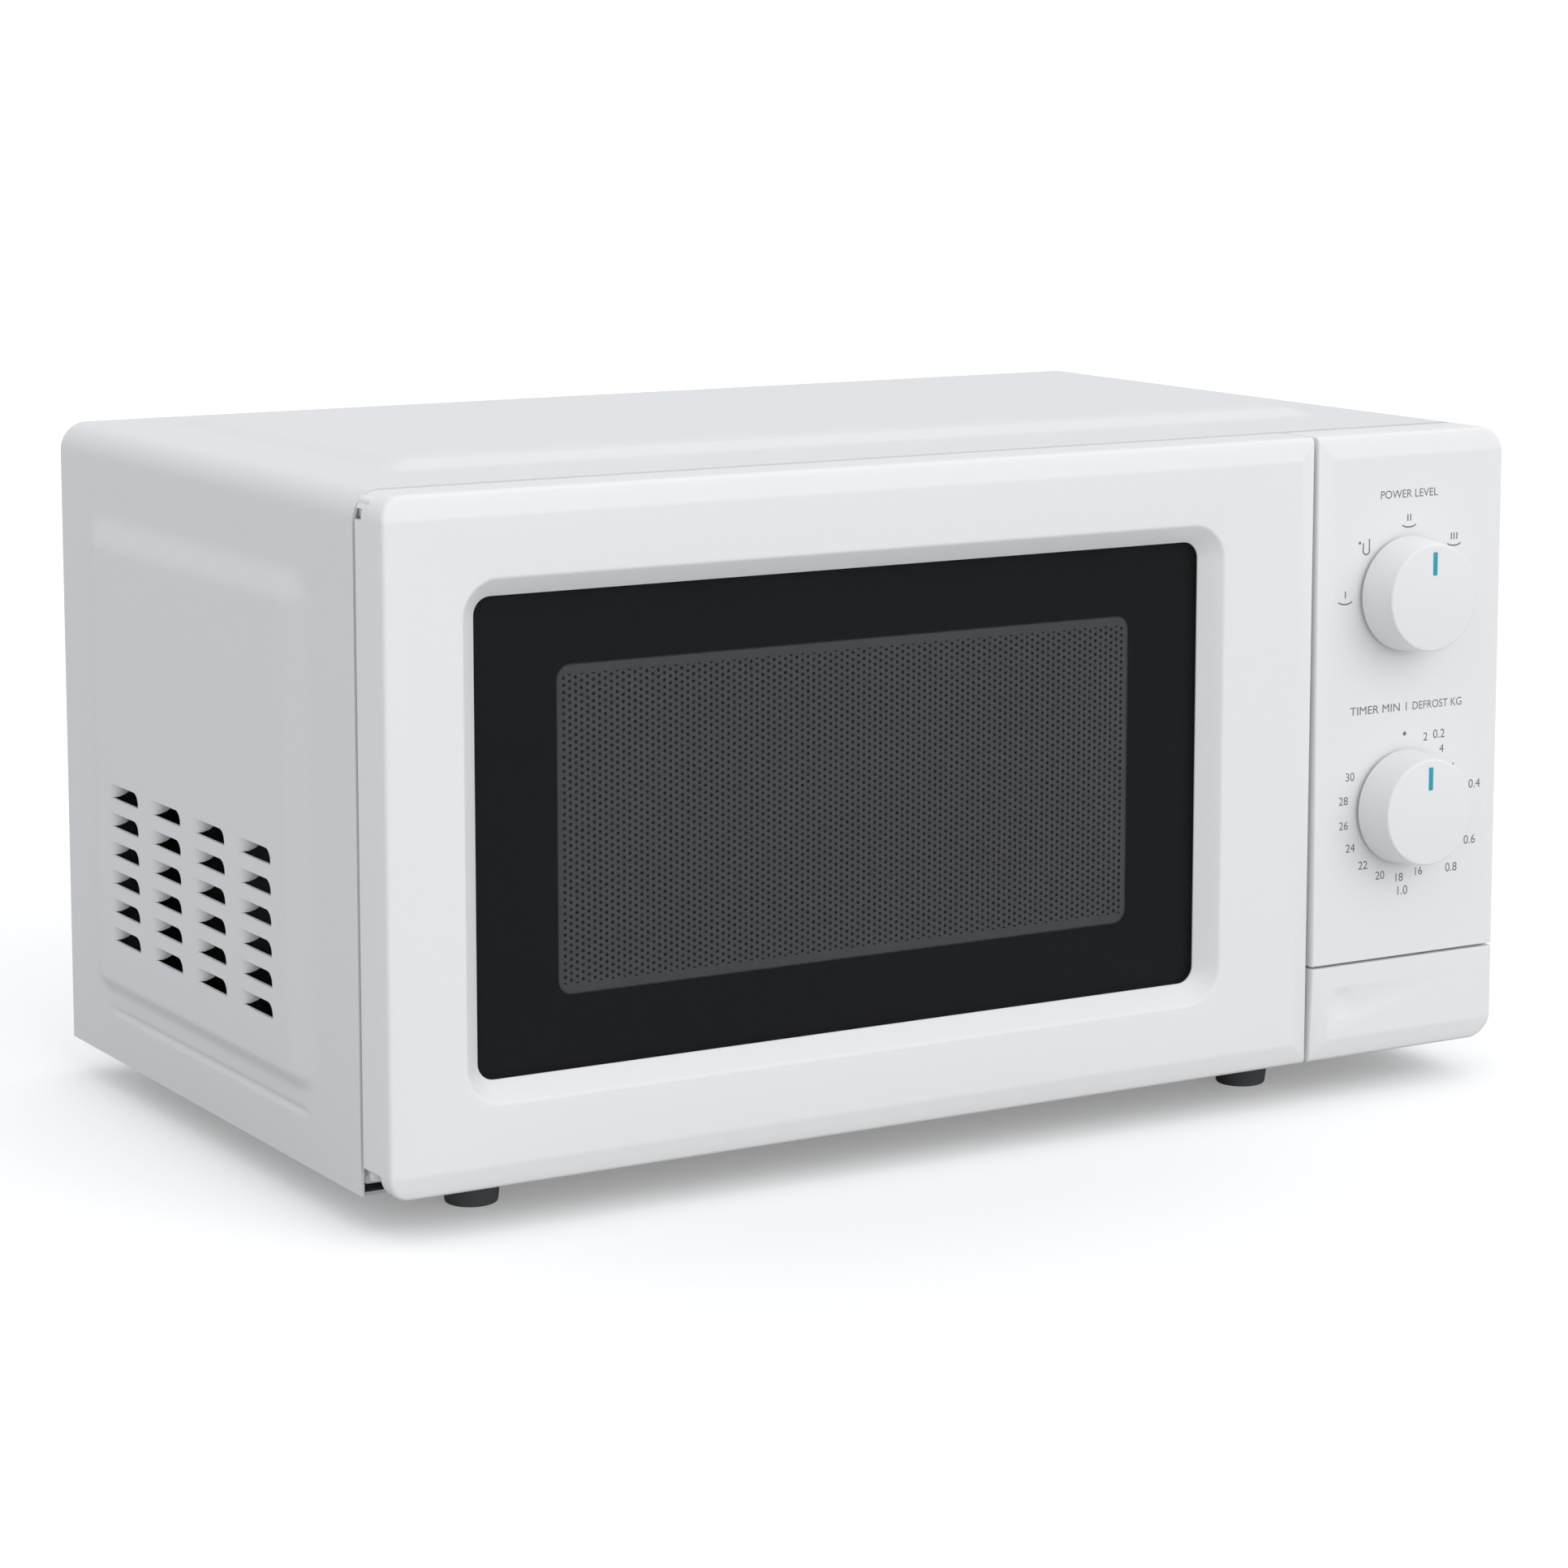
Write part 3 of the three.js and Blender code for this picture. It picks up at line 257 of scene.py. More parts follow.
room = bpy.data.worlds.new("room")
room.use_nodes = True
ceiling = room.node_tree.nodes["Background"]
ceiling.inputs["Color"].default_value = (0.97, 0.985, 1, 1)
air = Graph(room.node_tree)
height = air.add("ShaderNodeSeparateXYZ", {}, {"Vector": air.add("ShaderNodeTexCoord")["Generated"]})["Z"]
strength = air.add("ShaderNodeMapRange", {}, {"Value": height, "To Min": ROOM_WALLS, "To Max": ROOM_CEILING})
room.node_tree.links.new(strength["Result"].socket, ceiling.inputs["Strength"])
scene.world = room


# ---- Casing ----
# One sheet of powder-coated steel folded round the oven. A raised field is pressed into each side and the
# top, a bead runs along the foot of each side, and the vents are lanced: each flap twists inwards.
def sides(node):
    """A node's left, front, bottom, right, rear and top, in millimetres."""
    low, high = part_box(node)
    return [value / mm for value in (*low, *high)]


def middle_of(node):
    low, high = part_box(node)
    return [(a + b) / 2 / mm for a, b in zip(low, high)]


def ride_as(shape, body, slot, *nodes):
    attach(shape, body)
    if nodes:
        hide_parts(*nodes)


def settled(shape, sharp=32):
    """The object with its modifiers made real."""
    bpy.context.view_layer.update()
    evaluated = shape.evaluated_get(bpy.context.evaluated_depsgraph_get())
    mesh = bpy.data.meshes.new_from_object(evaluated)
    shape.modifiers.clear()
    shape.data = mesh
    mesh.shade_smooth()
    mesh.set_sharp_from_angle(angle=math.radians(sharp))
    return shape


def carved(shape, *cutters):
    """The object with the cutters' shapes taken out of it. The cutters are used up."""
    for cutter in cutters:
        cut = shape.modifiers.new("cut", "BOOLEAN")
        cut.operation = "DIFFERENCE"
        cut.object = cutter
        cut.solver = "EXACT"
    settled(shape)
    for cutter in cutters:
        bpy.data.objects.remove(cutter)
    while len(shape.data.materials) > 1:
        shape.data.materials.pop()
    return shape


def joined(shape, *others):
    """One object made of several, all in the same place."""
    work = bmesh.new()
    for part in (shape, *others):
        work.from_mesh(part.data)
    work.to_mesh(shape.data)
    work.free()
    shape.data.set_sharp_from_angle(angle=math.radians(32))
    for part in others:
        bpy.data.objects.remove(part)
    return shape


def bank_tree():
    """Copies of one shape in columns and rows, odd columns staggered, joined where they touch."""
    tree = bpy.data.node_groups.new("bank_of_copies", "GeometryNodeTree")
    wanted = [("Shape", "Object"), ("Columns", "Int"), ("Rows", "Int"), ("Column step", "Vector"),
              ("Row step", "Vector"), ("Stagger", "Vector"), ("Material", "Material")]
    for name, kind in wanted:
        tree.interface.new_socket(name=name, in_out="INPUT", socket_type="NodeSocket" + kind)
    tree.interface.new_socket(name="Geometry", in_out="OUTPUT", socket_type="NodeSocketGeometry")
    graph = Graph(tree)
    given = graph.add("NodeGroupInput")
    index = graph.add("GeometryNodeInputIndex")["Index"]
    row = index % given["Rows"]
    column = (index - row) / given["Rows"]

    def scaled(vector, factor):
        settings = {"operation": "SCALE"}
        return graph.add("ShaderNodeVectorMath", settings, {"Vector": vector, "Scale": factor})["Vector"]

    def summed(first, second):
        return graph.add("ShaderNodeVectorMath", {"operation": "ADD"}, {0: first, 1: second})["Vector"]

    along = summed(scaled(given["Column step"], column), scaled(given["Row step"], row))
    place = summed(along, scaled(given["Stagger"], column % 2))
    count = given["Columns"] * given["Rows"]
    points = graph.add("GeometryNodePoints", {}, {"Count": count, "Position": place})["Points"]
    shape = graph.add("GeometryNodeObjectInfo", {}, {"Object": given["Shape"]})["Geometry"]
    copies = graph.add("GeometryNodeInstanceOnPoints", {}, {"Points": points, "Instance": shape})["Instances"]
    real = graph.add("GeometryNodeRealizeInstances", {}, {"Geometry": copies})["Geometry"]
    merged = graph.add("GeometryNodeMergeByDistance", {}, {"Geometry": real, "Distance": 0.002 * mm})
    finish = {"Geometry": merged["Geometry"], "Material": given["Material"]}
    ended = graph.add("GeometryNodeSetMaterial", {}, finish)["Geometry"]
    graph.add("NodeGroupOutput", {}, {"Geometry": ended})
    return tree


copies_in_bank = bank_tree()


def bank(name, shape, columns, rows, column_step, row_step, stagger=(0, 0, 0)):
    """A plain mesh of columns by rows copies of a shape, which is used up. Steps are in millimetres."""
    holder = bpy.data.objects.new(name, bpy.data.meshes.new(name))
    scene.collection.objects.link(holder)
    maker = holder.modifiers.new("bank", "NODES")
    maker.node_group = copies_in_bank
    values = {"Shape": shape, "Columns": columns, "Rows": rows, "Material": shape.data.materials[0],
              "Column step": Vector(column_step) * mm, "Row step": Vector(row_step) * mm,
              "Stagger": Vector(stagger) * mm}
    for item in copies_in_bank.interface.items_tree:
        if item.name in values:
            maker[item.identifier] = values[item.name]
    settled(holder)
    bpy.data.objects.remove(shape)
    return holder


def prism_of(name, outline, axis, low, high, material):
    """A straight-sided solid along one axis. Its outline is in the other two, in X, Y, Z order."""
    def point(u, v, w):
        return {"x": (w, u, v), "y": (u, w, v), "z": (u, v, w)}[axis]

    count = len(outline)
    points = [point(u, v, low) for u, v in outline] + [point(u, v, high) for u, v in outline]
    faces = [tuple(range(count)), tuple(range(count, 2 * count))]
    faces += [(i, (i + 1) % count, (i + 1) % count + count, i + count) for i in range(count)]
    return solid_of(name, points, faces, material)


def eased(t):
    t = min(1, max(0, t))
    return t * t * (3 - 2 * t)


def stations(*runs):
    """Places from run to run: each run is its start and the number of steps to the next one's start."""
    places = []
    for (start, steps), (end, _) in zip(runs, runs[1:]):
        places += [start + (end - start) * i / steps for i in range(steps)]
    return places + [runs[-1][0]]


powder_coat = grained("powder_coat", (0.80, 0.81, 0.82), (0.785, 0.795, 0.806), 0.42, 1300, 0.010)
SHEET = 1.2
CASING_CORNER = 10
SIDE_RISE = 3.3
TOP_RISE = 3.0
BEAD = {"height": 18.2, "half": 1.3, "depth": 0.7, "ends": (38, 215)}
_, casing_front, casing_bottom, casing_right, casing_rear, casing_crown = sides("outer_casing")
wall = casing_right - SIDE_RISE  # half the width across the flat sides
roof = casing_crown - TOP_RISE


def pressed(u, v, us, vs, skirts, rise):
    """How far a pressed field stands out at (u, v): flat inside us and vs, eased down over four skirts."""
    across = max((us[0] - u) / skirts[0], (u - us[1]) / skirts[1], 0)
    along = max((vs[0] - v) / skirts[2], (v - vs[1]) / skirts[3], 0)
    return rise * (1 - eased(math.hypot(across, along)))


def side_out(y, z):
    depth, height = y - casing_front, z - casing_bottom
    out = pressed(depth, height, (50.4, 210.9), (31.5, 186.5), (18.5, 17, 7, 13), SIDE_RISE)
    start, end = BEAD["ends"]
    strength = eased((depth - start) / 8) * eased((end - depth) / 8)
    bead = math.exp(-(((height - BEAD["height"]) / BEAD["half"]) ** 2))
    return out - BEAD["depth"] * bead * strength


def top_out(x, y):
    return pressed(x + wall, y - casing_front, (44, 2 * wall - 44), (52.9, 213.9), (14, 14, 14, 14), TOP_RISE)


rise_of_side = stations((casing_bottom, 4), (27.5, 12), (34, 4), (37, 8), (44.5, 8), (197.5, 10), (212.5, 3),
                        (roof - CASING_CORNER, 1))
run_of_top = stations((-wall + CASING_CORNER, 3), (-wall + 29, 10), (-wall + 45, 14), (wall - 45, 10),
                      (wall - 29, 3), (wall - CASING_CORNER, 1))
run_of_depth = stations((casing_front, 4), (casing_front + 31, 11), (casing_front + 51, 12),
                        (casing_front + 210, 11), (casing_front + 228.5, 4), (casing_rear, 1))
casing_path = [("side", -1, z) for z in rise_of_side[:-1]]
casing_path += [("fold", -1, math.radians(angle)) for angle in range(0, 91, 9)]
casing_path += [("top", 0, x) for x in run_of_top[1:-1]]
casing_path += [("fold", 1, math.radians(angle)) for angle in range(90, -1, -9)]
casing_path += [("side", 1, z) for z in reversed(rise_of_side[:-1])]


def casing_point(where, side, at, y):
    if where == "side":
        return side * (wall + side_out(y, at)), y, at
    if where == "top":
        return at, y, roof + top_out(at, y)
    reach = wall - CASING_CORNER
    return side * (reach + CASING_CORNER * math.cos(at)), y, roof - CASING_CORNER * (1 - math.sin(at))


columns = len(run_of_depth)
casing_points = [casing_point(*station, y) for station in casing_path for y in run_of_depth]
casing_faces = [
    (i * columns + j, i * columns + j + 1, (i + 1) * columns + j + 1, (i + 1) * columns + j)
    for i in range(len(casing_path) - 1) for j in range(columns - 1)]
casing = solid_of("casing", casing_points, casing_faces, powder_coat, outward=False)
if casing.data.polygons[0].normal.x > 0:
    casing.data.flip_normals()
thickness = casing.modifiers.new("sheet", "SOLIDIFY")
thickness.thickness = SHEET * mm
thickness.offset = -1
settled(casing)

# The vents in the casing's sides: a bank on the left, and two columns over the electrical bay on the right.
LOUVRE = {"length": 27.5, "height": 5.3, "rear": 203.4, "bottom": 46.1, "pitch": (38.4, 10.4), "corner": 4}
LOUVRE_TWIST = 0.42  # share of the length over which a flap turns from flush to square
LOUVRE_SINK = 0.2  # how far a turned flap's root lies under the side's surface


def louvre_slot(side):
    rear = casing_front + LOUVRE["rear"]
    low = casing_bottom + LOUVRE["bottom"]
    high = low + LOUVRE["height"]
    tip = rear - LOUVRE["length"]
    corner = LOUVRE["corner"]
    arc = [math.radians(90 + 15 * i) for i in range(7)]
    rounded = [(tip + corner + corner * math.cos(a), high - corner + corner * math.sin(a)) for a in arc]
    outline = [(tip, low), (rear, low), (rear, high), *rounded]
    near, far = sorted((side * (wall - 4), side * (casing_right + 4)))
    return prism_of("slot", outline, "x", near, far, powder_coat)


def louvre_flap(side):
    """A strip hinged along the slot's top edge, flush at the rear and turned square at the front."""
    outer = wall + SIDE_RISE
    rear = casing_front + LOUVRE["rear"]
    hinge = casing_bottom + LOUVRE["bottom"] + LOUVRE["height"]
    lengths, widths = 14, 4
    points = []
    for face in (0, SHEET):
        for i in range(lengths + 1):
            along = i / lengths
            turn = math.pi / 2 * eased(along / LOUVRE_TWIST)
            for j in range(widths + 1):
                reach = LOUVRE["height"] * j / widths
                inward = (reach + LOUVRE_SINK) * math.sin(turn) + face * math.cos(turn)
                drop = reach * math.cos(turn) - face * math.sin(turn)
                points.append((side * (outer - inward), rear - LOUVRE["length"] * along, hinge - drop))
    across = widths + 1
    sheet = (lengths + 1) * across
    faces = []
    for i in range(lengths):
        for j in range(widths):
            corner = i * across + j
            quad = (corner, corner + 1, corner + across + 1, corner + across)
            faces += [quad, tuple(k + sheet for k in quad)]
    rim = [i * across for i in range(lengths + 1)] + [lengths * across + j for j in range(1, across)]
    rim += [i * across + widths for i in range(lengths - 1, -1, -1)] + list(range(widths - 1, 0, -1))
    faces += [(a, b, b + sheet, a + sheet) for a, b in zip(rim, rim[1:] + rim[:1])]
    return solid_of("flap", points, faces, powder_coat)


slots, flaps = [], []
for side, louvre_columns, first in ((-1, 4, 0), (1, 2, 1)):
    steps = ((0, -LOUVRE["pitch"][0], 0), (0, 0, LOUVRE["pitch"][1]))
    start = Matrix.Translation((0, -first * LOUVRE["pitch"][0] * mm, 0))
    for made, shape in ((slots, louvre_slot(side)), (flaps, louvre_flap(side))):
        made.append(bank("louvres", shape, louvre_columns, 6, *steps))
        made[-1].data.transform(start)
joined(carved(casing, *slots), *flaps)
ride_as(casing, "oven", "painted_steel", "outer_casing")


# ---- Feet ----
# Four moulded rubber pads pushed into the base plate, each a short cone with a rounded foot.
foot_rubber = grained("foot_rubber", (0.115, 0.118, 0.122), (0.095, 0.098, 0.10), 0.75, 1800, 0.02, patch=40)
for number in range(1, 5):
    node = "foot_%d" % number
    left, _, bottom, right, _, top = sides(node)
    reach = (right - left) / 2
    profile = [(0, bottom + 0.6), (reach - 4.5, bottom + 0.6), (reach - 4, bottom)]
    profile += fillet((reach - 2.4, bottom + 0.8), 0.8, -90, -10)
    profile += [(reach - 0.3, top - 1), (reach, top - 0.6), (reach, top), (0, top)]
    foot = lathe("rubber_" + node, profile, (*middle_of(node)[:2], 0), "z", foot_rubber, 48)
    ride_as(foot, "oven", "foot_rubber", node)


# ---- Back: screws, air guide and cord gland ----
# Four plated pan-head screws with cross recesses hold the back panel. A moulded guide over the fan's intake
# keeps the oven off the wall, and a rubber gland lines the hole where the mains lead would leave.
def plated(name, light, dark, roughness, stretch, metal=0.9):
    """Plated or drawn metal: rolled streaks one way in its tone and gloss."""
    made = Finish(name, Metallic=metal)
    streaks = made.noise(260, 3, stretch)
    made.feed("Base Color", made.blend(streaks, light, dark))
    made.feed("Roughness", streaks * 0.22 + (roughness - 0.11))
    made.relief(made.noise(1500, 2, stretch), 0.004)
    return made.material


zinc = plated("zinc", (0.66, 0.67, 0.68), (0.50, 0.51, 0.53), 0.42, (0.08, 1, 1))
HEAD_RADIUS = 3.6
HEAD_HEIGHT = 2
RECESS = {"reach": 2, "half": 0.45, "depth": 1.2}
for number in range(1, 5):
    node = "rear_screw_%d" % number
    front, rear = sides(node)[1], sides(node)[4]
    centre = middle_of(node)
    centre[1] = 0
    under = rear - HEAD_HEIGHT
    profile = [(0, front), (1.3, front), (1.8, front + 0.7), (1.8, under), (HEAD_RADIUS, under)]
    profile += fillet((HEAD_RADIUS - 1.3, under + 0.7), 1.3, 0, 90)
    screw = lathe("screw", profile + [(0, rear)], centre, "y", zinc, 32)
    bars = []
    for u, v in ((RECESS["reach"], RECESS["half"]), (RECESS["half"], RECESS["reach"])):
        outline = [(centre[0] + a * u, centre[2] + b * v) for a, b in ((-1, -1), (1, -1), (1, 1), (-1, 1))]
        bars.append(prism_of("recess", outline, "y", rear - RECESS["depth"], rear + 1, zinc))
    screw = carved(screw, *bars)
    screw.name = "back_screw_%d" % number
    ride_as(screw, "oven", "zinc_steel", node)


def outline_of(left, right, bottom, top, radii, lead=0.7, steps=8):
    """Points round a rectangle with its own radius at each corner, from the lower left one anticlockwise.

    Each arc has a point a little before and after it, and every outline has the same number of points.
    """
    least = min(right - left, top - bottom)
    radii = [min(max(radius, 0.2), least * 0.48) for radius in radii]
    lead = min(lead, (least - 2 * max(radii)) * 0.4)
    corners = ((left, 1, bottom, 1), (right, -1, bottom, 1), (right, -1, top, -1), (left, 1, top, -1))
    points = []
    for (u, inward, v, upward), radius, start in zip(corners, radii, (180, 270, 360, 450)):
        arc = fillet((u + inward * radius, v + upward * radius), radius, start, start + 90, steps)
        ahead = (math.sin(math.radians(start)) * lead, -math.cos(math.radians(start)) * lead)
        points += [(arc[0][0] + ahead[0], arc[0][1] + ahead[1]), *arc,
                   (arc[-1][0] + ahead[1], arc[-1][1] - ahead[0])]
    return points


def loft(name, rings, material, closed=False, floor=None):
    """A skin over rings with the same number of points, its ends capped or the last ring joined to the first.

    The rings of an open box run along its outside and back along its inside. There, floor numbers the last
    ring of the outside, and that ring and the next are capped and not joined.
    """
    count, last = len(rings[0]), len(rings) - 1
    pairs = [(ring, ring + 1) for ring in range(last) if ring != floor]
    if closed:
        pairs.append((last, 0))
    capped = (0, last) if not closed else () if floor is None else (floor, floor + 1)
    faces = skin(count, pairs) + [cap(count, ring) for ring in capped]
    return solid_of(name, [point for ring in rings for point in ring], faces, material)


def upright(outline, y):
    return [(u, y, v) for u, v in outline]


def ring_at(y, bounds, inset, radii):
    """An upright ring: a rectangle drawn in by an inset, with one radius or four."""
    left, right, bottom, top = bounds
    radii = radii if isinstance(radii, list) else [radii] * 4
    return upright(outline_of(left + inset, right - inset, bottom + inset, top - inset, radii), y)


def plate(name, bounds, ys, radius, material, edge=0.3):
    """A flat plate facing the front, with round corners and softened edges."""
    front, rear = ys
    third = edge * 0.3
    places = ((edge, front), (third, front + third), (0, front + edge), (0, rear - edge),
              (third, rear - third), (edge, rear))
    return loft(name, [ring_at(y, bounds, inset, radius - inset) for inset, y in places], material)


grey_plastic = grained("grey_plastic", (0.30, 0.31, 0.32), (0.27, 0.28, 0.29), 0.55, 1500, 0.02, patch=25)
black_plastic = grained("black_plastic", (0.026, 0.026, 0.028), (0.020, 0.020, 0.022), 0.5, 1700, 0.015,
                        patch=30)
left, front, bottom, right, rear, top = sides("rear_air_guide")
GUIDE_WALL = 1.6
GUIDE_CORNER = 8
guide_stations = ((0, front), (0, rear - 3), (0.4, rear - 1.4), (1.4, rear - 0.4), (3, rear),
                  (3.4, rear - GUIDE_WALL), (GUIDE_WALL, rear - GUIDE_WALL - 1.6), (GUIDE_WALL, front))
guide_rings = [ring_at(y, (left, right, bottom, top), inset, GUIDE_CORNER - inset)
               for inset, y in guide_stations]
guide = loft("air_guide", guide_rings, grey_plastic, closed=True, floor=4)
GUIDE_SLOT = {"inset": 12, "low": 15, "height": 6, "pitch": 13, "count": 9}
slot_low = bottom + GUIDE_SLOT["low"]
slot_bounds = (left + GUIDE_SLOT["inset"], right - GUIDE_SLOT["inset"], slot_low,
               slot_low + GUIDE_SLOT["height"])
slot_shape = prism_of("slot", outline_of(*slot_bounds, [2.6] * 4), "y", rear - 3, rear + 2, grey_plastic)
row_step = (0, 0, GUIDE_SLOT["pitch"])
carved(guide, bank("slots", slot_shape, 1, GUIDE_SLOT["count"], (0, 0, 0), row_step))
slat_outline = [(rear - GUIDE_WALL, slot_low + 6.2), (rear - 9, slot_low + 1.5), (rear - 9, slot_low + 0.2),
                (rear - GUIDE_WALL, slot_low + 5)]
slat_shape = prism_of("slat", slat_outline, "x", left + 6, right - 6, grey_plastic)
slats = bank("slats", slat_shape, 1, GUIDE_SLOT["count"], (0, 0, 0), row_step)
joined(guide, slats)
ride_as(guide, "oven", "grey_plastic", "rear_air_guide")

left, front, bottom, right, rear, top = sides("cord_gland")
flange = (right - left) / 2
under = rear - 3
GLAND_BORE = 3.6
profile = [(GLAND_BORE, front), (flange - 3.6, front), (flange - 3, front + 0.6), (flange - 3, under)]
profile += [(flange, under)] + fillet((flange - 1, rear - 1), 1, 0, 90)
profile += [(5.2, rear), (4.4, rear - 0.3), (GLAND_BORE, rear - 1.2), (GLAND_BORE, front)]
gland_middle = middle_of("cord_gland")
gland = lathe("gland", profile, (gland_middle[0], 0, gland_middle[2]), "y", black_plastic, 48)
ride_as(gland, "oven", "black_plastic", "cord_gland")

# ---- Cavity and front plate ----
# The cooking space is a folded steel box, sprayed with speckled grey enamel inside. Its outside is coloured
# near black as painted shade, for the dark inside of the casing's vents. It is welded to a white front plate
# with the mouth, the slots for the door's hooks, and the holes for the knob shafts and the lever.
enamel = Finish("speckled_enamel_and_painted_shade", Metallic=0.0)
speckle = enamel.add("ShaderNodeTexVoronoi", {}, {"Vector": enamel.place, "Scale": 700.0})["Distance"]
tones = {"stops": [(0.10, (0.30, 0.31, 0.32)), (0.26, (0.56, 0.57, 0.58))]}
speckle = enamel.add("ShaderNodeValToRGB", tones, {"Fac": speckle})["Color"]
left, front, bottom, right, rear, top = sides("cavity")
from_middle = enamel.away_from(Vector(middle_of("cavity")) * mm)
# A mask of the box's outside, beyond half its wall, where the colour is painted shade.
outside = 0
for axis, size in (("X", right - left), ("Y", rear - front), ("Z", top - bottom)):
    limit = (size - SHEET) / 2 * mm  # halfway through the wall
    outside = from_middle[axis].maths("GREATER_THAN", from_middle[axis], limit) + outside
outside = enamel.add("ShaderNodeClamp", {}, {"Value": outside})["Result"]
# Near black outside the box is painted shade for the vents' dark insides; the speckled grey enamel is inside.
enamel.feed("Base Color", enamel.blend(outside, speckle, (0.012, 0.012, 0.013)))
enamel.feed("Roughness", enamel.noise(500) * 0.2 + 0.3)
enamel.relief(enamel.noise(900), 0.01)
enamel = enamel.material

CAVITY_CORNER = 9
cavity_stations = ((0, front), (0, rear - 8), (2.4, rear - 2.4), (8, rear), (8.6, rear - SHEET),
                   (SHEET + 2.2, rear - SHEET - 2.2), (SHEET, rear - SHEET - 8), (SHEET, front))
cavity_rings = [ring_at(y, (left, right, bottom, top), inset, max(CAVITY_CORNER - inset, 1))
                for inset, y in cavity_stations]
cavity = loft("cooking_cavity", cavity_rings, enamel, closed=True, floor=3)
spin = middle_of("turntable_tray")[:2]
drive_hole = lathe("hole", [(8, bottom - 5), (8, bottom + 5)], (*spin, 0), "z", enamel, 32)
LAMP_HOLES = {"count": 5, "pitch": 4.6, "radius": 1.3}
lamp_start = [0] + [place - 2 * LAMP_HOLES["pitch"] for place in middle_of("cavity_lamp")[1:]]
pin_profile = [(LAMP_HOLES["radius"], right - 4), (LAMP_HOLES["radius"], right + 4)]
pin = lathe("hole", pin_profile, lamp_start, "x", enamel, 12)
lamp_holes = bank("holes", pin, LAMP_HOLES["count"], LAMP_HOLES["count"], (0, LAMP_HOLES["pitch"], 0),
                  (0, 0, LAMP_HOLES["pitch"]))
MICA_LAP = 6  # of the cover over the edge of its hole
mica_left, mica_front, mica_bottom, mica_right, mica_rear, mica_top = sides("waveguide_cover")
wave_outline = outline_of(mica_front + MICA_LAP, mica_rear - MICA_LAP, mica_bottom + MICA_LAP,
                          mica_top - MICA_LAP, [3] * 4)
wave_hole = prism_of("hole", wave_outline, "x", right - 5, right + 5, enamel)
carved(cavity, drive_hole, lamp_holes, wave_hole)
ride_as(cavity, "oven", "cavity_enamel", "cavity")

mica = grained("mica", (0.62, 0.54, 0.38), (0.50, 0.43, 0.30), 0.5, 400, 0.02, patch=60)
mica_outline = outline_of(mica_front, mica_rear, mica_bottom, mica_top, [4] * 4)
mica_cover = prism_of("mica_cover", mica_outline, "x", mica_left, mica_right, mica)
ride_as(mica_cover, "oven", "mica", "waveguide_cover")

plate_left, plate_front, plate_bottom, plate_right, plate_rear, plate_top = sides("front_plate")
MOUTH_INSET = 4.2  # from the cavity's outside to the mouth's edge, all round
PLATE_EDGE = 0.3
PLATE_CORNERS = [1, 1, 7, 7]
mouth = (left + MOUTH_INSET, right - MOUTH_INSET, bottom + MOUTH_INSET, top - MOUTH_INSET)
plate_bounds = (plate_left, plate_right, plate_bottom, plate_top)
rim_rings = [ring_at(y, plate_bounds, inset, PLATE_CORNERS)
             for y, inset in ((plate_front + PLATE_EDGE, 0), (plate_front, PLATE_EDGE))]
rim_rings += [ring_at(y, mouth, inset, 4)
              for y, inset in ((plate_front, -PLATE_EDGE), (plate_front + PLATE_EDGE, 0), (plate_rear, 0))]
rim_rings.append(ring_at(plate_rear, plate_bounds, 0, PLATE_CORNERS))
front_plate = loft("cavity_front_plate", rim_rings, powder_coat, closed=True)
latch_left, _, latch_bottom, latch_right, _, latch_top = sides("door_latch")
HOOK_INSET = 8  # from the latch bar's ends to its hooks
HOOK_SLOT = {"left": 3, "right": 1, "below": 6, "above": 10}
LEVER_SLOT = {"left": 1, "right": 5, "below": 2, "above": 8}
SHAFT_HOLE = 5
knob_boxes = {name: sides(name + "_knob") for name in ("power", "timer")}
knob_centres = {name: (middle_of(name + "_knob")[0], 0, middle_of(name + "_knob")[2]) for name in knob_boxes}
through = (plate_front - 2, plate_rear + 2)
cutters = []
for height in (latch_bottom + HOOK_INSET, latch_top - HOOK_INSET):
    outline = outline_of(latch_left + HOOK_SLOT["left"], latch_right - HOOK_SLOT["right"],
                         height - HOOK_SLOT["below"], height + HOOK_SLOT["above"], [1.5] * 4)
    cutters.append(prism_of("slot", outline, "y", *through, powder_coat))
for centre in knob_centres.values():
    cutters.append(lathe("hole", [(SHAFT_HOLE, y) for y in through], centre, "y", enamel, 24))
lever_left, _, lever_bottom = sides("release_lever")[:3]
lever_outline = outline_of(lever_left - LEVER_SLOT["left"], lever_left + LEVER_SLOT["right"],
                           lever_bottom - LEVER_SLOT["below"], lever_bottom + LEVER_SLOT["above"], [1] * 4)
cutters.append(prism_of("slot", lever_outline, "y", *through, powder_coat))
carved(front_plate, *cutters)
ride_as(front_plate, "oven", "painted_steel", "front_plate")

# ---- Turntable ----
# A pressed clear glass tray with a low rim turns on a moulded coupler. Three loose rollers on the arms of a
# white ring carry it.
white_plastic = grained("white_plastic", (0.865, 0.872, 0.88), (0.85, 0.857, 0.865), 0.30, 2400, 0.004,
                        patch=6)


def clear(name, light, dark, patch, waves, depth, **fixed):
    """Clear glass or plastic: a slow change of tint and a faint waviness."""
    made = Finish(name, **fixed)
    made.feed("Base Color", made.blend(made.noise(patch), light, dark))
    made.relief(made.noise(waves), depth)
    return made.material


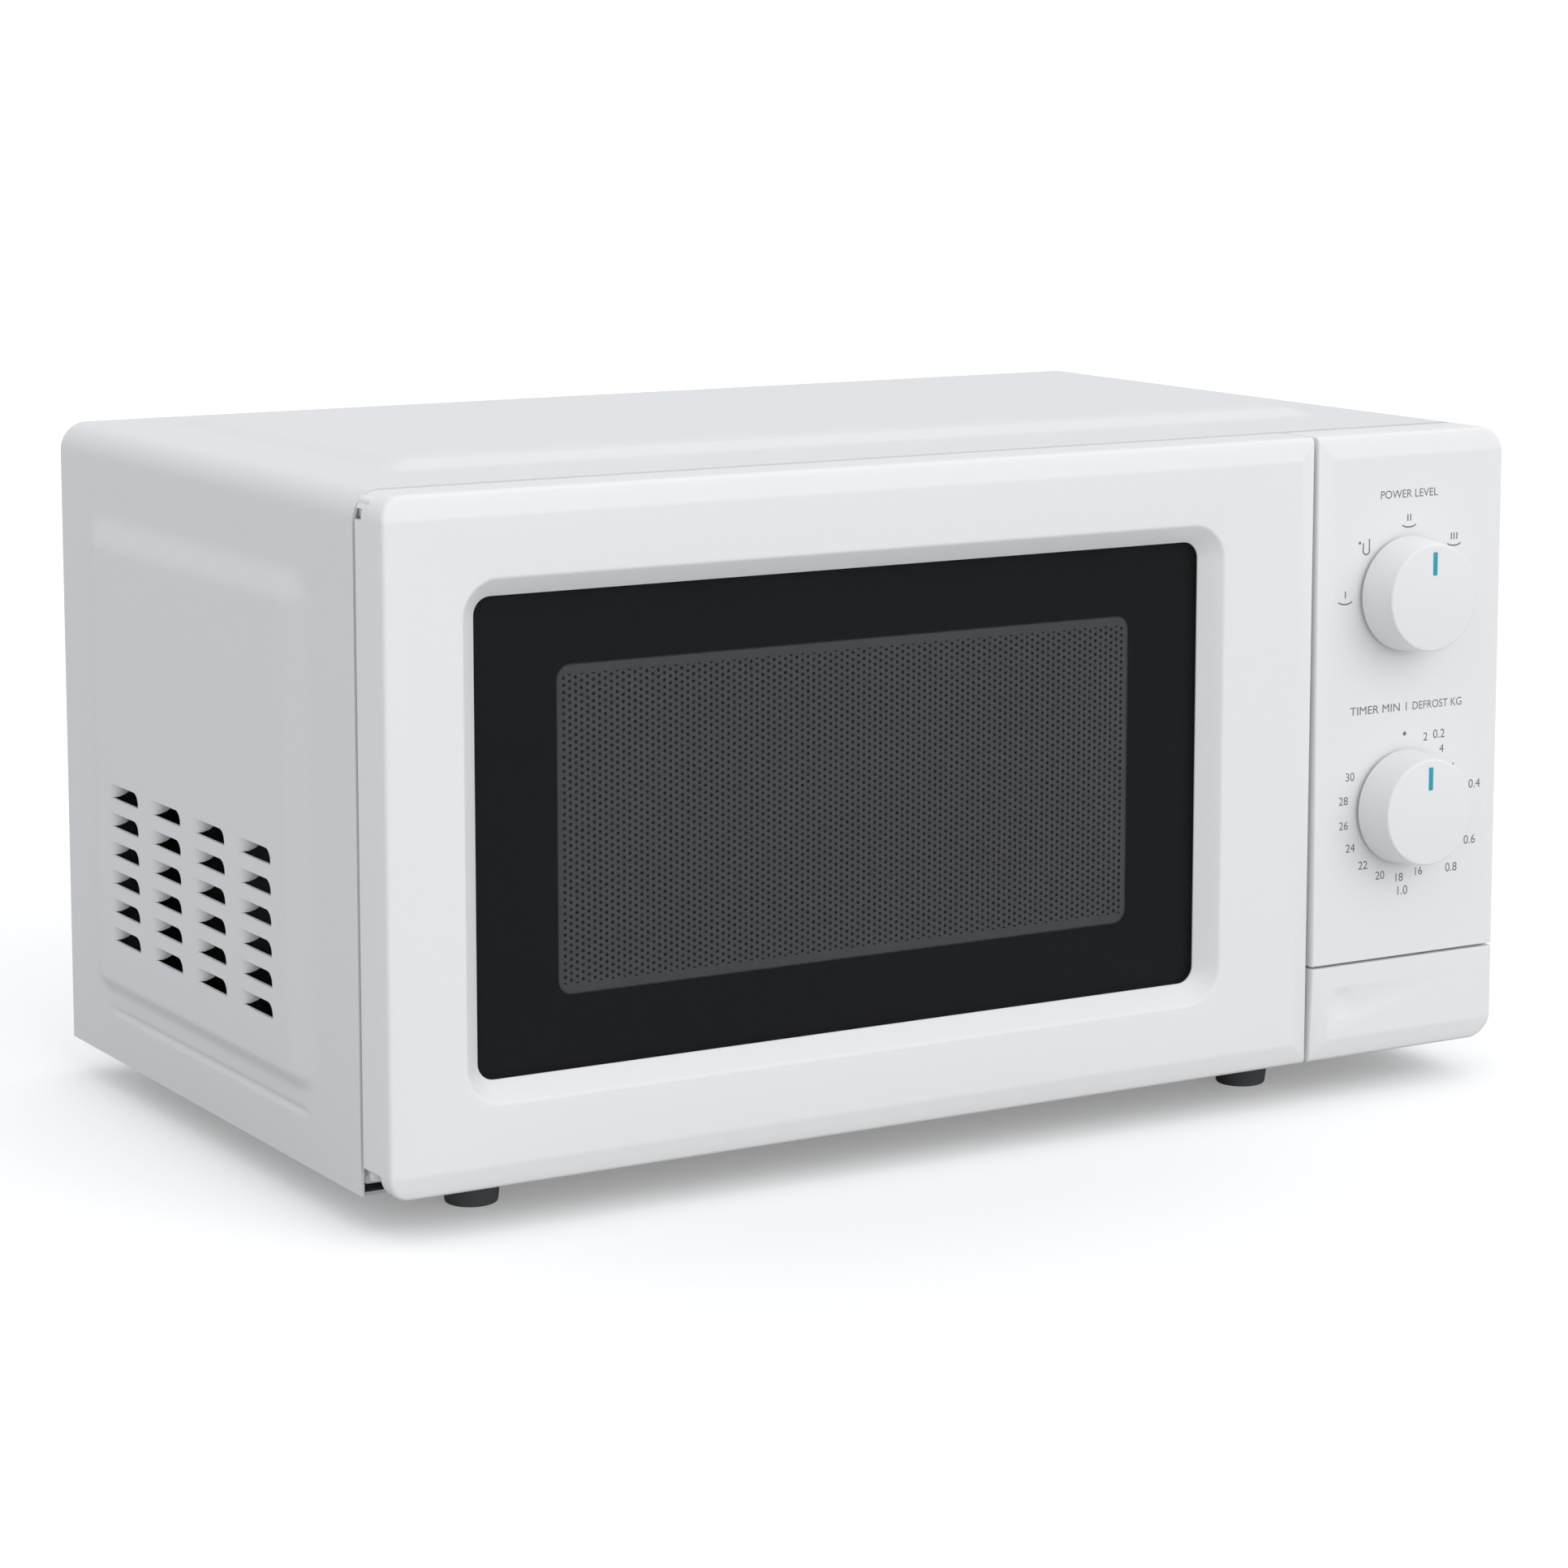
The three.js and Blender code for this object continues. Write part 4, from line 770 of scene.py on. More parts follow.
tray_glass = clear("tray_glass", (0.80, 0.88, 0.87), (0.70, 0.80, 0.79), 30, 220, 0.02,
                   Roughness=0.06, Alpha=0.32)
left, _, low, right, _, high = sides("turntable_tray")
reach = (right - left) / 2
profile = [(0, low + 0.4), (13, low + 0.4), (14.5, low), (reach - 15, low), (reach - 9, low + 0.8),
           (reach - 4, low + 3.2), (reach - 1.4, low + 6.5), (reach, high - 1.2)]
profile += fillet((reach - 1, high - 1), 1, 0, 180)[1:]
profile += [(reach - 3.6, low + 6.9), (reach - 7, low + 5.4), (reach - 12, low + 4.3), (reach - 17, low + 4),
            (0, low + 4)]
TRAY_SHARP = 50
tray = lathe("glass_tray", profile, (*spin, 0), "z", tray_glass, 96, TRAY_SHARP)
ride_as(tray, "turntable", "clear_glass", "turntable_tray")

_, _, low, _, _, high = sides("turntable_coupler")
COUPLER_STEP = 36  # height of the underside of the coupler's head
profile = [(0, low), (3, low), (3.5, low + 0.5), (3.5, COUPLER_STEP), (12.4, COUPLER_STEP)]
profile += fillet((12.2, COUPLER_STEP + 0.8), 0.8, -60, 0) + fillet((11.2, high - 1), 1, 0, 90) + [(0, high)]
coupler = lathe("coupler", profile, (*spin, 0), "z", white_plastic, 48)
ride_as(coupler, "turntable", "white_plastic", "turntable_coupler")

left, _, low, right, _, high = sides("roller_1")
roller_radius = (high - low) / 2
half_width = (right - left) / 2
axle_height = (high + low) / 2
ring_radius = (left + right) / 2 - spin[0]
BORE = 1.9
tyre = [(BORE, -half_width)] + fillet((roller_radius - 1, 1 - half_width), 1, -90, 0)
tyre += fillet((roller_radius - 1, half_width - 1), 1, 0, 90) + [(BORE, half_width), (BORE, -half_width)]
# The ring's inner and outer edges are measured in from the rollers' circle.
RING = {"inner": 10.5, "outer": 5.5, "half": 2.5, "edge": 0.4}
inner, outer = ring_radius - RING["inner"], ring_radius - RING["outer"]
half, edge = RING["half"], RING["edge"]
ring_profile = [(inner, edge - half), (inner + edge, -half), (outer - edge, -half), (outer, edge - half),
                (outer, half - edge), (outer - edge, half), (inner + edge, half), (inner, half - edge),
                (inner, edge - half)]
ring = lathe("roller_carrier_ring", ring_profile, (*spin, axle_height), "z", white_plastic, 96)
axle = [(0, ring_radius - 8), (1.6, ring_radius - 8), (1.6, ring_radius + 5.4), (1.1, ring_radius + 6),
        (0, ring_radius + 6)]
for number in range(1, 4):
    turn = Matrix.Rotation((number - 1) * 2 * math.pi / 3, 4, "Z")
    move = Matrix.Translation(Vector((*spin, axle_height)) * mm) @ turn
    wheel = lathe("wheel_%d" % number, tyre, (ring_radius, 0, 0), "x", white_plastic, 40)
    wheel.data.transform(move)
    ride_as(wheel, "wheel_%d" % number, "white_plastic", "roller_%d" % number)
    arm = lathe("arm", axle, (0, 0, 0), "x", white_plastic, 20)
    arm.data.transform(move)
    joined(ring, arm)
ride_as(ring, "roller_carrier", "white_plastic", "roller_ring")

# ---- Door frame ----
# A white moulding that shares its outline with the control strip: flat front, shallow slopes along the top
# and bottom, rounded edges and a bevelled reveal round the window. The hinge pins enter its left side.
FACE_SLOPE = {"height": 8, "depth": 2}
FACE_CORNER = 8
FACE_ROUND = 1.5  # radius of the outer edges
CREASE = 0.09  # half the crease's softening, as a share of the slope's height
door_left, face_front, face_bottom, door_right, door_rear, face_top = sides("door_frame")
FACE_INSETS = (0, 0.12, 0.45, 0.9, FACE_ROUND, 4, 7.2, 7.6, 8, 8.4, 8.8)


def slope_depth(height):
    near = min(height - face_bottom, face_top - height) / FACE_SLOPE["height"]
    if near >= 1 + CREASE:
        return 0
    if near <= 1 - CREASE:
        return FACE_SLOPE["depth"] * (1 - near)
    return FACE_SLOPE["depth"] * (1 + CREASE - near) ** 2 / (4 * CREASE)


def edge_depth(inset):
    inward = max(FACE_ROUND - inset, 0)
    return FACE_ROUND - math.sqrt(FACE_ROUND ** 2 - inward ** 2)


def face_rings(left, right, bottom, top, radii, tight):
    """Rings over a moulded face from its edge in. The sides named in tight meet a seam almost squarely."""
    rings = []
    for inset in FACE_INSETS:
        close = 0.3 * min(inset, FACE_ROUND) + max(inset - FACE_ROUND, 0)
        step = {side: close if side in tight else inset for side in ("left", "right", "bottom", "top")}
        outline = outline_of(left + step["left"], right - step["right"], bottom + step["bottom"],
                             top - step["top"], [radius - inset for radius in radii])
        depth = edge_depth(inset)
        rings.append([(u, face_front + depth + slope_depth(v), v) for u, v in outline])
    return rings


WALL = 2.4
GLASS_LIP = 4
REVEAL = {"side": 7, "end": 6.6, "outer": 13, "inner": 6}
glass_left, glass_front, glass_bottom, glass_right, glass_rear, glass_top = sides("door_glass")
window = (glass_left + GLASS_LIP, glass_right - GLASS_LIP, glass_bottom + GLASS_LIP, glass_top - GLASS_LIP)
slab_back = glass_front - 0.3
skirt_bottom = face_bottom + 7.3


def reveal_ring(share, y):
    """The window's outline opened outwards by a share of the reveal."""
    side, end = REVEAL["side"] * share, REVEAL["end"] * share
    radius = REVEAL["inner"] + (REVEAL["outer"] - REVEAL["inner"]) * share
    left, right, bottom, top = window
    return upright(outline_of(left - side, right + side, bottom - end, top + end, [radius] * 4), y)


door_rings = [reveal_ring(share, slab_back - ahead) for share, ahead in ((0, 0), (0, 0.5), (0.05, 0.85))]
door_rings += [reveal_ring(share, face_front + behind)
               for share, behind in ((0.88, 0.75), (0.97, 0.22), (1.02, 0.06), (1.12, 0))]
corners = [FACE_CORNER, 0.4, 0.4, FACE_CORNER]
front_rings = face_rings(door_left, door_right, face_bottom, face_top, corners, ("right",))
door_rings += reversed(front_rings)
skirt_corners = [1, 0.4, 0.4, FACE_CORNER]
inner_corners = [0.5, 0.4, 0.4, FACE_CORNER - WALL]
skirt = (door_left, door_right, skirt_bottom, face_top)
door_rings += [
    ring_at(slab_back, (door_left, door_right, face_bottom, face_top), 0, corners),
    ring_at(slab_back, skirt, 0, skirt_corners), ring_at(door_rear - 0.4, skirt, 0, skirt_corners),
    ring_at(door_rear, skirt, 0.4, skirt_corners), ring_at(door_rear, skirt, WALL, inner_corners),
    ring_at(slab_back, skirt, WALL, inner_corners)]
door = loft("door_front", door_rings, white_plastic, closed=True)
# The upper hinge arm swings through a notch in the left wall, under the boss that holds its pin.
NOTCH = {"width": 3.4, "depth": 4.9, "low": 8.7, "high": 5.1}  # low and high are measured down from the top
sweep_outline = outline_of(door_left - 2, door_left + NOTCH["width"], face_top - NOTCH["low"],
                           face_top - NOTCH["high"], [0.3] * 4)
sweep_notch = prism_of("notch", sweep_outline, "y", door_rear - NOTCH["depth"], door_rear + 2, white_plastic)
carved(door, sweep_notch)
BOSS = {"inset": 1.4, "width": 8, "depth": 8.5, "corner": 3.6}
boss_outline = outline_of(door_left + BOSS["inset"], door_left + BOSS["width"], face_top - NOTCH["high"],
                          face_top - BOSS["inset"], [0.5, 0.5, 0.5, BOSS["corner"]])
boss = prism_of("boss", boss_outline, "y", door_rear - BOSS["depth"], door_rear - 0.2, white_plastic)
joined(door, boss)
ride_as(door, "door", "white_plastic", "door_frame")

# ---- Door glass and perforated screen ----
# The pane is tinted glass, printed black on its back round a clear field where the screen behind shows. The
# screen is a folded steel pan, punched with round holes in staggered columns and painted dark grey.
SCREEN_INSET = {"left": 35.5, "right": 30.4, "bottom": 27.8, "top": 28.6}
field = (glass_left + SCREEN_INSET["left"], glass_right - SCREEN_INSET["right"],
         glass_bottom + SCREEN_INSET["bottom"], glass_top - SCREEN_INSET["top"])
FIELD_CORNER = 5
field_middle = Vector(((field[0] + field[1]) / 2, 0, (field[2] + field[3]) / 2)) * mm
field_half = ((field[1] - field[0]) / 2 * mm, (field[3] - field[2]) / 2 * mm)

pane = Finish("printed_glass", Roughness=0.04, Specular_IOR_Level=0.06)
from_middle = pane.away_from(field_middle)


def beyond(axis, half):
    """How far a point lies outside the clear field along one axis, less the corner's radius."""
    past = from_middle[axis] - (half - FIELD_CORNER * mm)
    return pane.add("ShaderNodeMath", {"operation": "MAXIMUM"}, {0: past, 1: 0.0})["Value"]


across, upwards = beyond("X", field_half[0]), beyond("Z", field_half[1])
far = pane.add("ShaderNodeMath", {"operation": "SQRT"}, {0: across * across + upwards * upwards})["Value"]
PRINT_EDGE = 0.4
printed = pane.add("ShaderNodeMapRange", {}, {"Value": far, "From Min": (FIELD_CORNER - PRINT_EDGE) * mm,
                                               "From Max": (FIELD_CORNER + PRINT_EDGE) * mm})["Result"]
CLEAR_ALPHA = 0.40
halfway = (glass_front + glass_rear) / 2 * mm
depth = pane.add("ShaderNodeSeparateXYZ", {}, {"Vector": pane.place})["Y"]
back = pane.add("ShaderNodeMapRange", {}, {"Value": depth, "From Min": halfway - 0.1 * mm,
                                            "From Max": halfway + 0.1 * mm})["Result"]
pane.feed("Alpha", back * printed + (1 - back) * CLEAR_ALPHA)
pane.feed("Base Color", pane.blend(pane.noise(12), (0.0180, 0.0186, 0.0196), (0.0168, 0.0174, 0.0184)))
GLASS_CORNER = 6
glass_bounds = (glass_left, glass_right, glass_bottom, glass_top)
glass = plate("pane", glass_bounds, (glass_front, glass_rear), GLASS_CORNER, pane.material)
ride_as(glass, "door", "black_glass", "door_glass")

screen_paint = grained("screen_paint", (0.165, 0.168, 0.172), (0.145, 0.148, 0.152), 0.5, 900, 0.01, patch=14)
HOLE = {"across": 2.18, "up": 2.342, "radius": 0.64, "margin": 2.5}
SCREEN_SHEET = 0.6
pan_left, pan_front, pan_bottom, pan_right, pan_rear, pan_top = sides("door_screen")
screen_columns = int((field[1] - field[0] - 2 * HOLE["margin"]) / HOLE["across"]) + 1
screen_rows = int((field[3] - field[2] - 2 * HOLE["margin"]) / HOLE["up"])
start = ((field[0] + field[1] - (screen_columns - 1) * HOLE["across"]) / 2,
         (field[2] + field[3] - (screen_rows - 0.5) * HOLE["up"]) / 2)


def punched_cell():
    """One six-sided cell of the screen round one hole."""
    third, half = HOLE["across"] / 3, HOLE["up"] / 2
    edge = [(2 * third, 0), (third, half), (-third, half), (-2 * third, 0), (-third, -half), (third, -half)]
    hole = fillet((0, 0), HOLE["radius"], 0, 300, 5)
    ys = (pan_front + 0.02, pan_front + 0.02 + SCREEN_SHEET)
    points = [(start[0] + u, y, start[1] + v) for y in ys for u, v in edge + hole]
    faces = []
    for i in range(6):
        j = (i + 1) % 6
        faces += [(i, j, j + 6, i + 6), (i + 12, i + 18, j + 18, j + 12), (i + 6, j + 6, j + 18, i + 18)]
    cell = solid_of("cell", points, faces, screen_paint, outward=False)
    if cell.data.polygons[0].normal.y > 0:
        cell.data.flip_normals()
    return cell


screen = bank("perforated_screen", punched_cell(), screen_columns, screen_rows,
              (HOLE["across"], 0, 0), (0, 0, HOLE["up"]), (0, 0, HOLE["up"] / 2))
net = (start[0] - HOLE["across"] / 3, start[0] + (screen_columns - 2 / 3) * HOLE["across"],
       start[1], start[1] + (screen_rows - 0.5) * HOLE["up"])
pan_bounds = (pan_left, pan_right, pan_bottom, pan_top)
pan_rings = [ring_at(pan_front + 0.1, net, 0, 0.3)]
pan_rings += [ring_at(y, pan_bounds, inset, 4 - min(inset, 1)) for inset, y in (
    (1.2, pan_front + 0.1), (0.4, pan_front + 0.45), (0, pan_front + 1.3), (0, pan_rear), (SHEET, pan_rear),
    (SHEET, pan_front + SHEET))]
pan_rings.append(ring_at(pan_front + SHEET, net, 0, 0.3))
pan = loft("pan", pan_rings, screen_paint, closed=True)
joined(screen, pan)
ride_as(screen, "door", "dark_steel", "door_screen")

# ---- Inside of the door ----
# A thin clear film keeps steam off the screen, and a black moulded cover hides the choke channel round it.
film_plastic = clear("film_plastic", (0.75, 0.78, 0.80), (0.68, 0.72, 0.74), 20, 90, 0.03,
                     Roughness=0.12, Alpha=0.22)
left, front, bottom, right, rear, top = sides("door_inner_film")
FILM = {"corner": 4, "edge": 0.15}
film = plate("steam_film", (left, right, bottom, top), (front, rear), FILM["corner"], film_plastic,
             FILM["edge"])
ride_as(film, "door", "clear_glass", "door_inner_film")

left, front, bottom, right, rear, top = sides("choke_cover")
LOOK = {"border": 6, "corner": 5, "bevel": 0.7}  # the opening, round the clear field
cover_rings = [ring_at(y, field, -LOOK["border"] - bevel, LOOK["corner"] + bevel)
               for bevel, y in ((0, front), (0, rear - LOOK["bevel"]), (LOOK["bevel"], rear))]
cover_rings += [ring_at(y, (left, right, bottom, top), inset, 5 - inset)
                for inset, y in ((0.6, rear), (0.2, rear - 0.2), (0, rear - 0.6), (0, front))]
cover = loft("choke_frame", cover_rings, black_plastic, closed=True)
ride_as(cover, "door", "black_plastic", "choke_cover")


# ---- Control strip ----
# The fixed panel is moulded with the door's outline and drilled for the two knob shafts. Below it the large
# button that opens the door fills the corner, with a shallow thumb mark at its left.
def moulded_box(name, bounds, radii, tight, rear, hollow_front):
    """A hollow moulding behind a face: its skirt runs back, and it is open at the rear."""
    outer = [max(radius, 0.4) for radius in radii]
    inner = [max(radius - WALL, 0.4) for radius in radii]
    shell = [*reversed(face_rings(*bounds, radii, tight)), ring_at(rear, bounds, 0, outer)]
    return loft(name, shell + [ring_at(y, bounds, WALL, inner) for y in (rear, hollow_front)], white_plastic)


left, front, panel_bottom, right, rear, top = sides("control_panel")
BUTTON_SEAM = 0.8
FACE_SKIN = 3  # thickness of the face behind its flat front
PANEL_HOLE = 4.5
panel_bounds = (left, right, sides("release_button")[5] + BUTTON_SEAM, top)
panel = moulded_box("control_face", panel_bounds, [0.4, 0.4, FACE_CORNER, 0.4], ("left", "bottom"), rear,
                    front + FACE_SKIN)
hole_profile = [(PANEL_HOLE, front - 2), (PANEL_HOLE, front + 5)]
carved(panel, *[lathe("hole", hole_profile, centre, "y", white_plastic, 32)
                for centre in knob_centres.values()])
# A rail behind the button, notched for the end of the lever.
RAIL = {"left": 1.5, "right": 2, "lap": 4, "thickness": 2.1, "notch": (5.5, 29, 41)}
rail_outline = outline_of(left + RAIL["left"], right - RAIL["right"], panel_bottom,
                          panel_bounds[2] + RAIL["lap"], [1] * 4)
rail = prism_of("rail", rail_outline, "y", rear - RAIL["thickness"], rear, white_plastic)
notch_reach, notch_low, notch_high = RAIL["notch"]
notch_outline = outline_of(left - 1, left + notch_reach, notch_low, notch_high, [0.6] * 4)
carved(rail, prism_of("slot", notch_outline, "y", rear - 4, rear + 2, white_plastic))
joined(panel, rail)
ride_as(panel, "oven", "white_plastic", "control_panel")

left, front, bottom, right, rear, top = sides("release_button")
BUTTON_SKIRT = 13.5
button = moulded_box("open_button", (left, right, bottom, top), [0.4, FACE_CORNER, 0.4, 0.4], ("left", "top"),
                     front + BUTTON_SKIRT, front + FACE_SKIN)
THUMB = {"from_left": 13.6, "height": 20.9, "radius": 21, "reach": 20.1}
thumb_profile = fillet((0, 0), THUMB["radius"], 20, 90, 24)
thumb_centre = (left + THUMB["from_left"], front - THUMB["reach"], bottom + THUMB["height"])
# A ring a hundredth of a millimetre deep keeps the thumb mark's shading off the flat face round it.
thumb_edge = lathe("edge", [(6, 15), (6, THUMB["reach"] + 0.01)], thumb_centre, "y", white_plastic, 64)
carved(button, thumb_edge, lathe("thumb", thumb_profile, thumb_centre, "y", white_plastic, 64))
# The rib on the button's back that pushes the lever.
RIB = {"left": 0.5, "low": 18.3, "across": 4}
rib_outline = outline_of(left + RIB["left"], left + RIB["left"] + RIB["across"], bottom + RIB["low"],
                         bottom + RIB["low"] + RIB["across"], [0.4] * 4)
rib = prism_of("rib", rib_outline, "y", front + FACE_SKIN - 0.2, rear, white_plastic)
joined(button, rib)
ride_as(button, "button", "white_plastic", "release_button")

# ---- Knobs ----
# Plain white drums, slightly smaller at the face, each with a turquoise bar let in flush to show its setting.
insert_blue = grained("insert_blue", (0.020, 0.380, 0.520), (0.016, 0.350, 0.490), 0.35, 2000, 0.004,
                      patch=60)
KNOB_WALL = 2
KNOB_TAPER = 1.4
BAR_GAP = 0.08
KNOB_GAP = 1.2  # more than the design's clearance, as the drum's edge is rounded away behind
for name, centre in knob_centres.items():
    left, front, bottom, right, rear, top = knob_boxes[name]
    base = (right - left) / 2
    face = base - KNOB_TAPER
    profile = [(0, front), (face - 0.9, front)] + fillet((face - 0.9, front + 0.9), 0.9, -90, -4)
    skirt = rear - KNOB_GAP
    profile += [(base, skirt - 0.3), (base - 0.3, skirt), (base - KNOB_WALL, skirt),
                (face - KNOB_WALL, front + 2.6), (6, front + 2.6), (6, rear - 1.7), (3.3, rear - 1.7),
                (3.3, front + 4), (0, front + 4)]
    knob = lathe(name + "_drum", profile, centre, "y", white_plastic, 96)
    bar_left, bar_front, bar_bottom, bar_right, bar_rear, bar_top = sides(name + "_pointer")
    groove_outline = outline_of(bar_left - BAR_GAP, bar_right + BAR_GAP, bar_bottom - BAR_GAP,
                                bar_top + BAR_GAP, [0.45] * 4)
    carved(knob, prism_of("groove", groove_outline, "y", front - 1, bar_rear + 0.3, white_plastic))
    ride_as(knob, name + "_control", "white_plastic", name + "_knob")
    bar_bounds = (bar_left, bar_right, bar_bottom, bar_top)
    bar = plate(name + "_bar", bar_bounds, (bar_front, bar_rear), 0.4, insert_blue, 0.12)
    ride_as(bar, name + "_control", "blue_plastic", name + "_pointer")

# ---- Dial markings ----
# Grey print round the knobs: power steps as bars over a dish, a defrost mark, and a scale of minutes with
# weights outside it. It is a film of ink on the panel.
ink = grained("dial_ink", (0.150, 0.155, 0.160), (0.190, 0.195, 0.200), 0.6, 3000, 0.002, patch=300)
INK = 0.04
marks = []


def print_shape(outline):
    marks.append(prism_of("mark", outline, "y", face_front - INK, face_front + 0.02, ink))


def print_text(text, centre, height, width=None):
    """Text centred on a place on the panel; its width may be set, as a condensed or wide letter would be."""
    curve = bpy.data.curves.new("text", "FONT")
    curve.body = text
    curve.align_x = "CENTER"
    curve.align_y = "CENTER"
    curve.size = 1
    curve.extrude = 0.5
    holder = bpy.data.objects.new("text", curve)
    scene.collection.objects.link(holder)
    bpy.context.view_layer.update()
    mesh = bpy.data.meshes.new_from_object(holder.evaluated_get(bpy.context.evaluated_depsgraph_get()))
    bpy.data.objects.remove(holder)
    xs = [vertex.co.x for vertex in mesh.vertices]
    ys = [vertex.co.y for vertex in mesh.vertices]
    tall = height / (max(ys) - min(ys))
    wide = width / (max(xs) - min(xs)) if width else tall
    middle = Vector(((max(xs) + min(xs)) / 2, (max(ys) + min(ys)) / 2, 0))
    for vertex in mesh.vertices:
        off = vertex.co - middle
        u, v = centre[0] + off.x * wide, centre[1] + off.y * tall
        vertex.co = Vector((u, face_front - off.z * INK, v)) * mm
    mesh.materials.append(ink)
    shape = bpy.data.objects.new("mark", mesh)
    scene.collection.objects.link(shape)
    marks.append(shape)


def bar_at(u, v, half_width=0.24, half_height=1.2):
    corners = ((-1, -1), (1, -1), (1, 1), (-1, 1))
    print_shape([(u + a * half_width, v + b * half_height) for a, b in corners])


def curve_at(u, v, reach, start, end, stroke=0.5, flat=1):
    """A stroke along an arc between two angles in degrees, its height flattened."""
    inside, flat_inside = reach - stroke, reach * flat - stroke
    arc = fillet((0, 0), 1, start, end, 14)
    outer = [(u + reach * a, v + reach * flat * b) for a, b in arc]
    print_shape(outer + [(u + inside * a, v + flat_inside * b) for a, b in reversed(arc)])


CAPTION = {"up": 36, "height": 2.9, "width": 22.4, "aside": (-12.6, 15.6)}
power_u, _, power_v = knob_centres["power"]
DISH = {"reach": 3.3, "flat": 0.42}
BAR_PITCH = 1.25
POWER_STEPS = (((-26.9, -2.1), 1), ((1.2, 23.9), 2), ((21.8, 16.0), 3))
for (u, v), bars in POWER_STEPS:
    curve_at(power_u + u, power_v + v + 0.8, DISH["reach"], 190, 350, flat=DISH["flat"])
    for i in range(bars):
        bar_at(power_u + u + (i - (bars - 1) / 2) * BAR_PITCH, power_v + v + 3.1)
# The defrost mark: an open cup with one tall side, and a ring beside it.
drop_u, drop_v = power_u - 17.9, power_v + 17.5
curve_at(drop_u, drop_v - 1.2, 1.7, 170, 370)
bar_at(drop_u - 1.35, drop_v + 0.2, 0.24, 1.3)
bar_at(drop_u + 1.35, drop_v + 0.9, 0.24, 2.0)
curve_at(drop_u - 2.9, drop_v + 1.6, 0.55, 0, 359, 0.54)
print_text("POWER LEVEL", (power_u + 1.1, power_v + 35.7), CAPTION["height"], 25.7)

timer_u, _, timer_v = knob_centres["timer"]
caption_v = timer_v + CAPTION["up"]
for text, aside in zip(("TIMER MIN", "DEFROST KG"), CAPTION["aside"]):
    print_text(text, (timer_u + aside, caption_v), CAPTION["height"], CAPTION["width"])
bar_at(timer_u + 1.5, caption_v, 0.2, 1.6)
ZERO_DOT = {"u": 1, "v": 26.1, "radius": 0.75}
print_shape(fillet((timer_u + ZERO_DOT["u"], timer_v + ZERO_DOT["v"]), ZERO_DOT["radius"], 0, 337.5, 15))
MINUTES = {"radius": 26.4, "first": 4, "degrees": 9.8, "height": 3.0}
for minutes in range(2, 31, 2):
    angle = math.radians(MINUTES["first"] + MINUTES["degrees"] * minutes)
    place = (timer_u + MINUTES["radius"] * math.sin(angle), timer_v + MINUTES["radius"] * math.cos(angle))
    print_text(str(minutes), place, MINUTES["height"])
WEIGHTS = {"0.2": (16.7, 24.8), "0.4": (33.6, 5.0), "0.6": (31.9, -15.6), "0.8": (23.6, -25.0),
           "1.0": (1.4, -31.3)}
WEIGHT_HEIGHT = 3.2
for text, (u, v) in WEIGHTS.items():
    print_text(text, (timer_u + u, timer_v + v), WEIGHT_HEIGHT)
markings = joined(*marks)
markings.name = "dial_markings"
ride_as(markings, "oven", "grey_plastic")


# ---- Latch, hinges and lever ----
# Small mouldings and pressed brackets, as cut or moulded in the design, with their edges rounded by the mould
# or the barrel.
def softened(node, name, width, material):
    """A copy of a CAD node with its triangles merged into flat faces and its edges rounded."""
    mesh = frame["nodes"][node].data.copy()
    mesh.materials.clear()
    work = bmesh.new()
    work.from_mesh(mesh)
    bmesh.ops.remove_doubles(work, verts=work.verts, dist=0.002 * mm)
    bmesh.ops.dissolve_limit(work, angle_limit=math.radians(1), verts=work.verts, edges=work.edges)
    work.to_mesh(mesh)
    work.free()
    mesh.materials.append(material)
    shape = bpy.data.objects.new(name, mesh)
    scene.collection.objects.link(shape)
    rounding = shape.modifiers.new("rounding", "BEVEL")
    rounding.width = width * mm
    rounding.segments = 2
    rounding.limit_method = "ANGLE"
    rounding.angle_limit = math.radians(40)
    return settled(shape)


